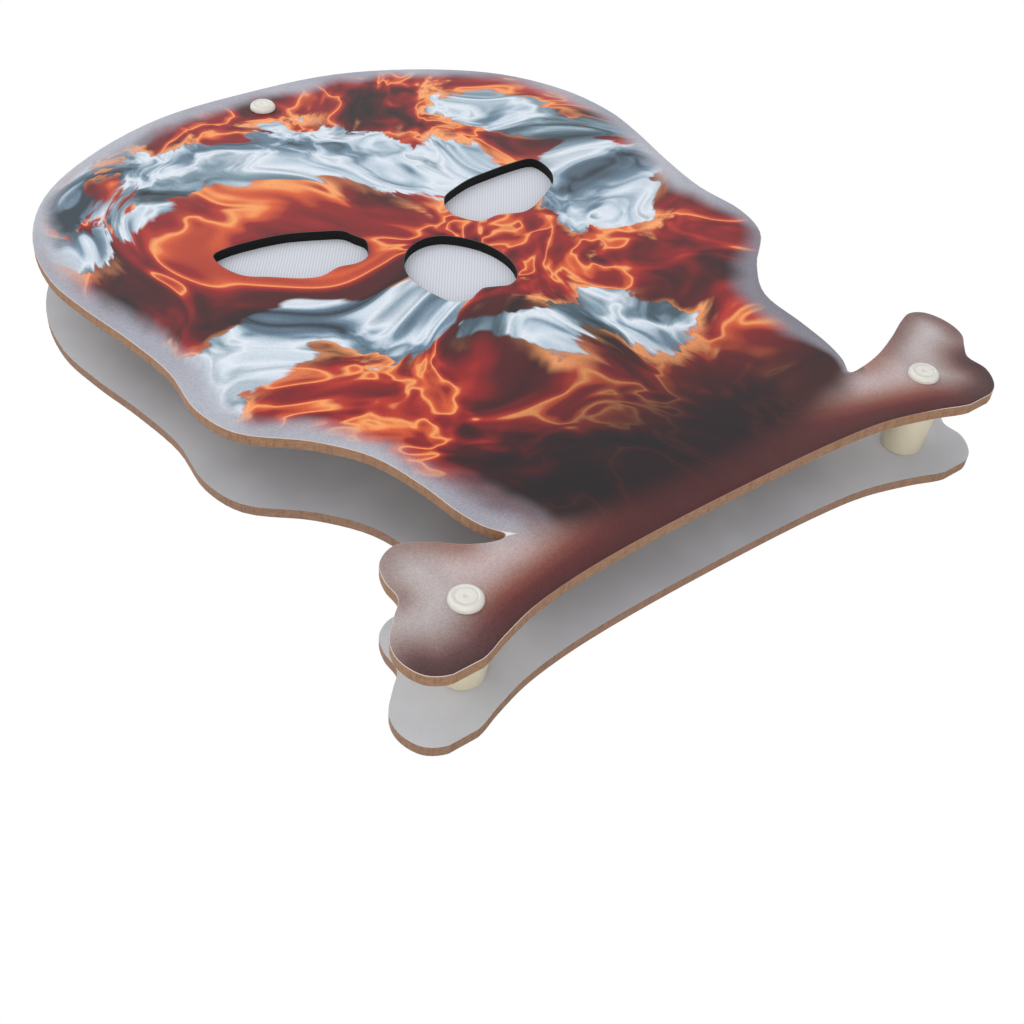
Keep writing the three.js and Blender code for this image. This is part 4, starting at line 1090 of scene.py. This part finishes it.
cream = plastic("cream_plastic", srgb(204, 195, 171), 0.42, 0.05, 0.35, 4 * MM)
ivory = plastic("ivory_plastic", srgb(207, 202, 190), 0.36, 0.05, 0.25, 2 * MM)
cap_ivory = plastic("cap_plastic", srgb(219, 215, 207), 0.4, 0.05, 0.25, 2 * MM)
post_profile = rounded([
    (0, 1.8, 0), (1.8, 1.8, 0.2), (1.8, -10.2, 0.1), (3.0, -10.2, 0.3), (3.0, 13.5, 0), (6.9, 13.5, 0.15),
    (6.9, 15.9, 1.05), (5.4, 15.9, 0.4), (0.9, 15.86, 0.3), (0.55, 15.6, 0.15), (0, 15.6, 0),
])
spacer_profile = rounded([
    (3.3, 0, 0), (3.3, -10.5, 0.15), (7.3, -10.5, 0.3), (7.3, -8.5, 0.5), (5.8, 10.5, 0.35),
    (3.3, 10.5, 0.15), (3.3, 0, 0),
])[:-1]


def cap_profile(front, radius, tip):
    """The cap from its dimple at front out to its radius, back to the film and down its stem to tip."""
    return rounded([
        (0, front + 0.55, 0), (0.5, front + 0.5, 0.2), (0.75, front + 0.14, 0.2),
        (radius - 1.9, front + 0.14, 0.4), (radius - 1.55, front + 0.24, 0.2),
        (radius - 1.15, front + 0.04, 0.25), (radius - 0.85, front, 0.2), (radius, front + 0.75, 0.7),
        (radius, FILM_FRONT, 0.2), (CAP_STEM, FILM_FRONT, 0), (CAP_STEM, tip - 0.8, 0.5),
        (0.9, tip, 0.2), (0, tip, 0),
    ])


def rivet_piece(name, node_name, profile, x, z, finish, closed=False):
    """One turned piece of a rivet about the line through (x, z), all in millimetres."""
    points, faces = turned(profile * MM, x * MM, z * MM, closed=closed)
    piece(name, points, faces, "frame", [finish], (node_name,), 50.0)


for where, (x, z) in RIVETS.items():
    low, high = (np.array(v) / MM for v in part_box(f"{where}_cap"))
    cap = cap_profile(low[1], (high[0] - low[0]) / 2, high[1])
    rivet_piece(f"{where}_cap_button", f"{where}_cap", cap, x, z, cap_ivory)
    rivet_piece(f"{where}_post_turned", f"{where}_post", post_profile, x, z, ivory)
    rivet_piece(f"{where}_spacer_turned", f"{where}_spacer", spacer_profile, x, z, cream,
        closed=True)
print("rivets", len(RIVETS))

# %% [markdown]
# ## The battery case
# The case, its lid and the switch are moulded in white and black plastic. Moulded edges are never
# quite sharp, so each is the CAD solid again with its edges rounded. The case stands at a small
# angle on the plate, so its own frame is turned by 2.9 degrees.

# %% Case, lid and switch
TILT = math.radians(2.9)
CASE_X, CASE_Z = 0.229, 144.513


def in_case(points):
    """Points in the case's own frame, in millimetres, seen in the frame of the decoration, in metres.

    x' = x0 + x cos t - z sin t and z' = z0 + x sin t + z cos t."""
    x, y, z = np.asarray(points, dtype=float).T
    right = CASE_X + x * math.cos(TILT) - z * math.sin(TILT)
    height = CASE_Z + x * math.sin(TILT) + z * math.cos(TILT)
    return np.stack([right, y, height], -1) * MM


white = plastic("white_plastic", srgb(209, 212, 216), 0.38, 0.04)
lid_white = plastic("lid_plastic", srgb(195, 195, 195), 0.42, 0.04)
black = plastic("black_plastic", srgb(22, 22, 23), 0.38, 0.1)
softened("battery_case_moulded", "battery_case", "frame", white, 0.16 * MM)
softened("battery_lid_moulded", "battery_lid", "lid", lid_white, 0.12 * MM)
softened("switch_body_moulded", "switch_body", "frame", black, 0.15 * MM)
softened("switch_knob_moulded", "switch_knob", "knob", black, 0.1 * MM)
print("case, lid and switch made")

# %% [markdown]
# Four small dark screws hold the case's flange on the plate. Each is turned, with a countersunk head
# whose flat face is many narrow rings, and the cross recess is a drop in that face along two crossed
# strips. Each screw stopped at another angle.

# %% Screws
SCREW_X, SCREW_Z = 17.2, 34.1       # from the case's middle to a screw
HEAD_FACE = 15.35
FACE_RINGS = np.linspace(1.42, 0.04, 28)
SCREW_SIDES = 128
ARM_HALF_WIDTH = (0.17, 0.25)       # the recess is full up to the first and gone from the second
ARM_REACH = (0.78, 0.92)
RECESS_DEPTH = 0.5

dark_steel = metal("dark_steel", (0.10, 0.10, 0.105), 0.35)
shank_and_head = rounded([
    (0, 9.55, 0), (0.08, 9.6, 0.03), (0.7, 10.9, 0.3), (0.7, 14.25, 0.1), (1.6, 15.12, 0.12),
    (1.6, 15.25, 0.06), (1.5, HEAD_FACE, 0),
])
face_rings = np.stack([FACE_RINGS, np.full(len(FACE_RINGS), HEAD_FACE)], -1)
screw_profile = np.vstack([shank_and_head, face_rings, [[0, HEAD_FACE]]])


def arm(beside, along):
    """1 in one strip of the cross and 0 outside it, by the distances across it and along it."""
    return (1 - step(np.abs(beside), *ARM_HALF_WIDTH)) * (1 - step(np.abs(along), *ARM_REACH))


screw_places = [(-SCREW_X, SCREW_Z), (SCREW_X, SCREW_Z), (-SCREW_X, -SCREW_Z), (SCREW_X, -SCREW_Z)]
for number, (x, z) in enumerate(screw_places):
    points, faces = turned(screw_profile, x, z, SCREW_SIDES)
    angle = math.radians(25 + 50 * number)
    u = (points[:, 0] - x) * math.cos(angle) + (points[:, 2] - z) * math.sin(angle)
    v = (points[:, 2] - z) * math.cos(angle) - (points[:, 0] - x) * math.sin(angle)
    on_face = points[:, 1] > HEAD_FACE - 0.05
    points[:, 1] -= np.where(on_face, RECESS_DEPTH * np.maximum(arm(u, v), arm(v, u)), 0)
    piece(f"case_screw_{number + 1}_turned", in_case(points), faces, "frame", [dark_steel],
        (f"case_screw_{number + 1}",), 30.0)
print("screws", len(screw_places))

# %% [markdown]
# ## Cells
# Two AA cells lie side by side under the lid, one each way round. Each is a steel can in a printed green
# sleeve with a pale band. Both are turned. The band is a stretch of heights in the case's own frame,
# and a ripple moves its limits by half a millimetre.

# %% Cells
CELL_X, CELL_Y = 7.2, 6.85        # the cells' axes in the case
CASE_TURN = (0, 2.9, 0)           # degrees that bring the case's own height upright
BAND_MIDDLE = 139.5 * MM
BAND_HALF = (3.6 * MM, 3.8 * MM)  # half its height, where it starts to fade and where it is gone
GREEN_DARKER = srgb(36, 84, 62)
GREEN_LIGHTER = srgb(46, 100, 76)
BAND_COLOUR = srgb(190, 196, 190)

nickel = metal("nickel_steel", (0.66, 0.66, 0.65), 0.26, (1, 1, 6))
sleeve, shader = material("cell_sleeve", Roughness=0.3, Metallic=0.35)
tree = sleeve.node_tree
height = split(tree, place(tree, turn=CASE_TURN))["Z"]
ripple = noise(tree, place(tree), 300.0, 3.0)
green = blend(tree, ramp(tree, ripple, 0.35, 0.65), GREEN_DARKER, GREEN_LIGHTER)
height = maths(tree, "ADD", height, maths(tree, "MULTIPLY", ripple, 0.6 * MM))
from_band = maths(tree, "ABSOLUTE", maths(tree, "SUBTRACT", height, BAND_MIDDLE))
printed_sleeve = blend(tree, ramp(tree, from_band, *BAND_HALF), BAND_COLOUR, green)
tree.links.new(printed_sleeve, shader.inputs["Base Color"])
tree.links.new(bump(tree, ripple, 0.2, 0.06 * MM), shader.inputs["Normal"])
can_profile = rounded([
    (0, 0.25, 0), (3.6, 0.25, 0.4), (4.2, 0, 0.3), (6.0, 0, 0.6), (6.82, 0.7, 0.5), (6.82, 48.4, 0.4),
    (6.0, 49.1, 0.4), (5.6, 48.9, 0.2), (3.0, 48.9, 0.2), (2.7, 49.1, 0.15), (2.7, 50.5, 0.4),
    (2.0, 50.5, 0.2), (0, 50.42, 0),
], 6)
sleeve_profile = rounded([
    (6.84, 24, 0), (6.84, 0.85, 0.1), (6.2, 0.35, 0.2), (6.25, 0.2, 0.05), (7.0, 0.55, 0.35),
    (7.0, 48.5, 0.4), (6.2, 49.1, 0.3), (6.15, 49.0, 0.05), (6.84, 48.4, 0.2), (6.84, 24, 0),
], 6)[:-1]


def cell_part(name, profile, x, foot, up_way, finish, stands_for=(), closed=False):
    """A turned part of a cell that stands on its flat end at foot, or hangs from it where up_way is -1."""
    points, faces = turned(profile, x, CELL_Y, closed=closed)
    points = points[:, [0, 2, 1]]
    points[:, 2] = foot + up_way * points[:, 2]
    piece(name, in_case(points), faces, "frame", [finish], stands_for, 45.0)


for name, x, foot, up_way in (("left_cell", -CELL_X, -29.55, 1), ("right_cell", CELL_X, 16.75, -1)):
    cell_part(f"{name}_can", can_profile, x, foot, up_way, nickel)
    cell_part(f"{name}_sleeve", sleeve_profile, x, foot, up_way, sleeve, (name,), True)
print("cells made")

# %% [markdown]
# ## Contacts and springs
# Nickel-plated contacts stand at the cells' ends, and a conical spring presses on each cell's flat end.
# A spring is a wire along a spiral: p(t) = (r cos 6 pi t, r sin 6 pi t, base + 3.15 t), and its radius r
# shrinks from 4.5 to 2.5 mm in three turns.

# %% Contacts and springs
SPRING_TURNS = 3
TURN_STEPS = 40
SPRING_FOOT, SPRING_TIP = 4.5, 2.5
SPRING_RISE = 3.15
SPRING_LIFT = 0.525               # from the spring's base to its wire's middle there
SPRING_WIRE = 0.35 * MM

for name in ("plus_contact", "minus_contact", "bridge_contact"):
    softened(f"{name}_pressed", name, "frame", nickel, 0.08 * MM)
t = np.linspace(0, 1, SPRING_TURNS * TURN_STEPS + 1)
spring_radius = SPRING_FOOT - (SPRING_FOOT - SPRING_TIP) * t
spring_angle = 2 * SPRING_TURNS * np.pi * t
for name, x, base, up_way in (("lower_spring", -CELL_X, -34.1, 1), ("upper_spring", CELL_X, 21.3, -1)):
    coil = np.stack([
        x + spring_radius * np.cos(spring_angle), CELL_Y + spring_radius * np.sin(spring_angle),
        base + up_way * (SPRING_LIFT + SPRING_RISE * t),
    ], -1)
    points, faces = wire(in_case(coil), SPRING_WIRE, 14)
    piece(f"{name}_wound", points, faces, "frame", [nickel], (name,), 50.0)
print("contacts and springs made")

# %% [markdown]
# ## Lamp strips
# A strip of lamps is glued behind each opening. A strip is a white circuit board with a faint mottle.
# A lamp is a white housing with yellow resin in its window: a powder in the resin turns the lamp's blue
# light white, and makes it look yellow when it is off.

# %% Strips and lamp finishes
board, shader = material("circuit_board", Roughness=0.45)
tree = board.node_tree
mask = noise(tree, place(tree), 800.0, 3.0)
board_colour = blend(tree, ramp(tree, mask, 0.3, 0.7), srgb(232, 230, 222), srgb(243, 242, 236))
tree.links.new(board_colour, shader.inputs["Base Color"])
tree.links.new(bump(tree, mask, 0.15, 0.03 * MM), shader.inputs["Normal"])
for where in ("left", "right", "nose"):
    softened(f"{where}_strip_board", f"{where}_led_strip", "frame", board, 0.06 * MM)

housing = plastic("lamp_housing", srgb(236, 234, 226), 0.4, 0.03)
resin, shader = material("lamp_resin", Roughness=0.18, Subsurface_Weight=0.4)
shader.inputs["Subsurface Scale"].default_value = MM
tree = resin.node_tree
powder = noise(tree, place(tree), 2600.0, 3.0)
resin_colour = blend(tree, ramp(tree, powder, 0.3, 0.7), srgb(216, 186, 60), srgb(236, 212, 104))
tree.links.new(resin_colour, shader.inputs["Base Color"])
tree.links.new(bump(tree, powder, 0.15, 0.02 * MM), shader.inputs["Normal"])
print("strips made")

# %% [markdown]
# ## Lamps
# A lamp's housing is square with rounded corners and its window is round, so each ring of its points is
# a curve between the two. The nose's strip is turned with the case, and so are its lamps.

# %% Lamps
LAMP_SIDES = 72
ROUND, SQUARE = 2, 12      # the power n of a ring's curve
LAMP_RINGS = [             # size and height in millimetres, from the middle of the back to the window
    (0.02, ROUND, 0.75), (2.3, SQUARE, 0.75), (2.45, SQUARE, 0.7), (2.5, SQUARE, 0.5),
    (2.5, SQUARE, -0.55), (2.44, SQUARE, -0.7), (2.3, SQUARE, -0.75), (2.08, ROUND, -0.75),
    (2.0, ROUND, -0.7), (1.9, ROUND, -0.35), (1.5, ROUND, -0.32), (0.8, ROUND, -0.31), (0.02, ROUND, -0.31),
]
RESIN_FROM = 9             # the ring where the resin begins
LAMP_COUNTS = {"left": 3, "right": 3, "nose": 2}


def lamp(centre, tilted):
    """A square housing that looks along minus Y, with a round window.

    Each ring is the curve r(a) = s (|cos a|^n + |sin a|^n)^(-1/n): n = 2 is a circle, n = 12 a square."""
    angle = np.linspace(0, 2 * np.pi, LAMP_SIDES, endpoint=False)
    loops = []
    for size, power, height in LAMP_RINGS:
        reach = size * (np.abs(np.cos(angle)) ** power + np.abs(np.sin(angle)) ** power) ** (-1 / power)
        depth = np.full(LAMP_SIDES, height)
        loops.append(np.stack([reach * np.cos(angle), depth, reach * np.sin(angle)], -1))
    points = np.vstack(loops)
    back = list(range(LAMP_SIDES))
    window = list(range(len(points) - LAMP_SIDES, len(points)))[::-1]
    sides = grid_faces(len(LAMP_RINGS), LAMP_SIDES)
    in_window = [number >= RESIN_FROM * LAMP_SIDES for number in range(len(sides))] + [False, True]
    if tilted:
        x, y, z = points.T
        c, s = math.cos(TILT), math.sin(TILT)
        points = np.stack([x * c - z * s, y, x * s + z * c], -1)
    return points * MM + centre, sides + [back, window], in_window


for where, count_here in LAMP_COUNTS.items():
    for number in range(1, count_here + 1):
        name = f"{where}_led_{number}"
        low, high = (np.array(v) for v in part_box(name))
        points, faces, in_window = lamp((low + high) / 2, where == "nose")
        piece(f"{name}_moulded", points, faces, "frame", [housing, resin], (name,),
            face_materials=in_window)
print("lamps", sum(LAMP_COUNTS.values()))

# %% [markdown]
# ## Leads
# The leads are soft insulated wires of 1.2 mm, soldered from strip to strip, and two of them feed the
# strips from the battery case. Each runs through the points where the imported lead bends, in millimetres.

# %% Leads
LEAD_RADIUS = 0.6 * MM
LEAD_STEPS = 14


def insulation(name, colour):
    """Soft insulation: even colour with a little grime, in patches of about 2 mm."""
    made, shader = material(name, Roughness=0.42)
    tree = made.node_tree
    grime = noise(tree, place(tree), 420.0, 3.0)
    dirty = blend(tree, ramp(tree, grime, 0.4, 0.75, 0.0, 0.4), colour, shade(colour, 0.6))
    tree.links.new(dirty, shader.inputs["Base Color"])
    tree.links.new(bump(tree, grime, 0.2, 0.05 * MM), shader.inputs["Normal"])
    return made


insulations = {
    "red": insulation("red_insulation", srgb(178, 30, 28)),
    "black": insulation("black_insulation", srgb(30, 30, 31)),
}
leads = {
    "switch_lead": ("red", [
        (-8.05, -4.75, 165.62), (-8.15, -4.75, 167.52), (-4.93, 1.2, 175.19), (-4.93, 5.95, 175.19),
    ]),
    "red_feed_lead": ("red", [
        (-1.33, 5.95, 175.37), (-1.36, 4.75, 175.97), (-4.48, 4.75, 178.22), (-9.92, 6.85, 174.94),
        (-12.77, 9.0, 171.79), (-26.72, 9.6, 167.76), (-26.72, 9.6, 160.06),
    ]),
    "black_feed_lead": ("black", [
        (6.33, -4.75, 166.35), (14.57, -3.15, 166.77), (16.07, -0.45, 166.84), (25.18, 9.6, 161.26),
        (25.18, 9.6, 160.06),
    ]),
    "left_red_lead": ("red", [
        (-22.42, 9.6, 157.26), (-18.64, 9.6, 152.32), (-16.68, 4.57, 143.28), (-16.22, -1.95, 134.17),
        (-14.22, -3.15, 130.26), (-12.37, -2.55, 130.36),
    ]),
    "left_black_lead": ("black", [
        (-22.42, 9.6, 154.26), (-18.49, 9.6, 149.32), (-16.53, 4.57, 140.28), (-16.07, -1.95, 131.17),
        (-14.07, -3.15, 127.27), (-12.22, -2.55, 127.36),
    ]),
    "right_red_lead": ("red", [
        (20.88, 9.6, 157.26), (18.21, 9.6, 154.18), (17.18, 4.57, 144.99), (17.64, -1.95, 135.88),
        (16.04, -3.15, 131.8), (14.19, -2.55, 131.7),
    ]),
    "right_black_lead": ("black", [
        (20.88, 9.6, 154.26), (18.36, 9.6, 151.19), (17.33, 4.57, 142.0), (17.79, -1.95, 132.89),
        (16.19, -3.15, 128.8), (14.35, -2.55, 128.71),
    ]),
}
for name, (colour, route) in leads.items():
    points, faces = wire(smooth_path(np.array(route) * MM, LEAD_STEPS), LEAD_RADIUS)
    piece(f"{name}_wire", points, faces, "frame", [insulations[colour]], (name,), 60.0)
print("leads", len(leads))

# %% [markdown]
# ## The floor
# The decoration stands on a plain pale floor, whose colour turns into plain white further out. The
# photograph looks at the decoration from below the floor's level, so the floor shows only from above,
# and only to the camera: from below, and to the light, it is clear.

# %% Floor
FLOOR_RADIUS = 5.0
FLOOR_SIDES = 96
FLOOR_Z = -0.4 * MM               # just under the feet
FLOOR_GREY = (0.86, 0.86, 0.86, 1)
WHITE = (1, 1, 1, 1)
GREY_WITHIN, WHITE_BEYOND = 0.25, 1.1

angle = np.linspace(0, 2 * np.pi, FLOOR_SIDES, endpoint=False)
rim = np.stack([
    FLOOR_RADIUS * np.cos(angle), FLOOR_RADIUS * np.sin(angle), np.full(FLOOR_SIDES, FLOOR_Z),
], -1)
floor_mesh = bpy.data.meshes.new("floor")
floor_mesh.from_pydata(rim.tolist(), [], [list(range(FLOOR_SIDES))])
floor = bpy.data.objects.new("floor", floor_mesh)
bpy.context.scene.collection.objects.link(floor)
floor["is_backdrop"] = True
floor_finish = bpy.data.materials.new("floor")
floor_finish.use_nodes = True
tree = floor_finish.node_tree
tree.nodes.clear()
diffuse = node(tree, "BsdfDiffuse", {"Color": FLOOR_GREY})
plain = node(tree, "Emission", {"Color": WHITE, "Strength": 1.0})
away = node(tree, "VectorMath", {0: place(tree)}, operation="LENGTH").outputs["Value"]
far = ramp(tree, away, GREY_WITHIN, WHITE_BEYOND)
pale_floor = node(tree, "MixShader", {0: far, 1: diffuse.outputs[0], 2: plain.outputs[0]})
path = node(tree, "LightPath")
from_above = maths(tree, "SUBTRACT", 1.0, node(tree, "NewGeometry").outputs["Backfacing"])
seen = maths(tree, "MULTIPLY", path.outputs["Is Camera Ray"], from_above)
clear = node(tree, "BsdfTransparent")
whole = node(tree, "MixShader", {0: seen, 1: clear.outputs[0], 2: pale_floor.outputs[0]})
node(tree, "OutputMaterial", {"Surface": whole.outputs[0]})
floor_mesh.materials.append(floor_finish)
print("floor ready")

# %% [markdown]
# ## The light
# The light is soft and white: a bright surround, one broad light above the front, a weaker one behind,
# and a low one to the left that reaches in between the plates. The camera sees a plain white backdrop
# in place of the surround, and so do gloss and glass.

# %% Surround
SURROUND = (0.97, 0.985, 1.0, 1)
SURROUND_STRENGTH = 0.86

world = bpy.data.worlds.new("studio")
bpy.context.scene.world = world
world.use_nodes = True
tree = world.node_tree
tree.nodes.clear()
path = node(tree, "LightPath")
surround = node(tree, "Background", {"Color": SURROUND, "Strength": SURROUND_STRENGTH})
backdrop = node(tree, "Background", {"Color": WHITE, "Strength": 1.0})
mirrored = maths(tree, "ADD", path.outputs["Is Glossy Ray"], path.outputs["Is Transmission Ray"])
seen = maths(tree, "ADD", path.outputs["Is Camera Ray"], mirrored, clamp=True)
shown = node(tree, "MixShader", {0: seen, 1: surround.outputs[0], 2: backdrop.outputs[0]})
node(tree, "OutputWorld", {"Surface": shown.outputs[0]})
print("surround ready")

# %% [markdown]
# The lights are broad squares, because a small light draws hard shadows. All look at one point.

# %% Lights
AIM = Vector((0, 0, 0.12))        # the middle of the decoration, about


def softbox(name, place_at, size, power):
    """A square area light of a size in metres and a power in watts that faces the decoration."""
    lamp_data = bpy.data.lights.new(name, "AREA")
    lamp_data.size = size
    lamp_data.energy = power
    light = bpy.data.objects.new(name, lamp_data)
    bpy.context.scene.collection.objects.link(light)
    light.location = place_at
    light.rotation_euler = (light.location - AIM).to_track_quat("Z", "Y").to_euler()


softbox("key", (-0.35, -1.1, 1.15), 1.1, 7.0)
softbox("low_fill", (-0.8, -0.42, -0.8), 0.9, 5.5)
softbox("back_fill", (-0.5, 1.2, 0.8), 1.1, 7.0)
bpy.context.scene.view_settings.view_transform = "Standard"
print("studio ready")

# %% [markdown]
# ## Finish
# The box round the dressed model, leaving out the floor, is printed.

# %% Finish
low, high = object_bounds()
print("visual box", [round(v / MM, 2) for v in (*low, *high)])
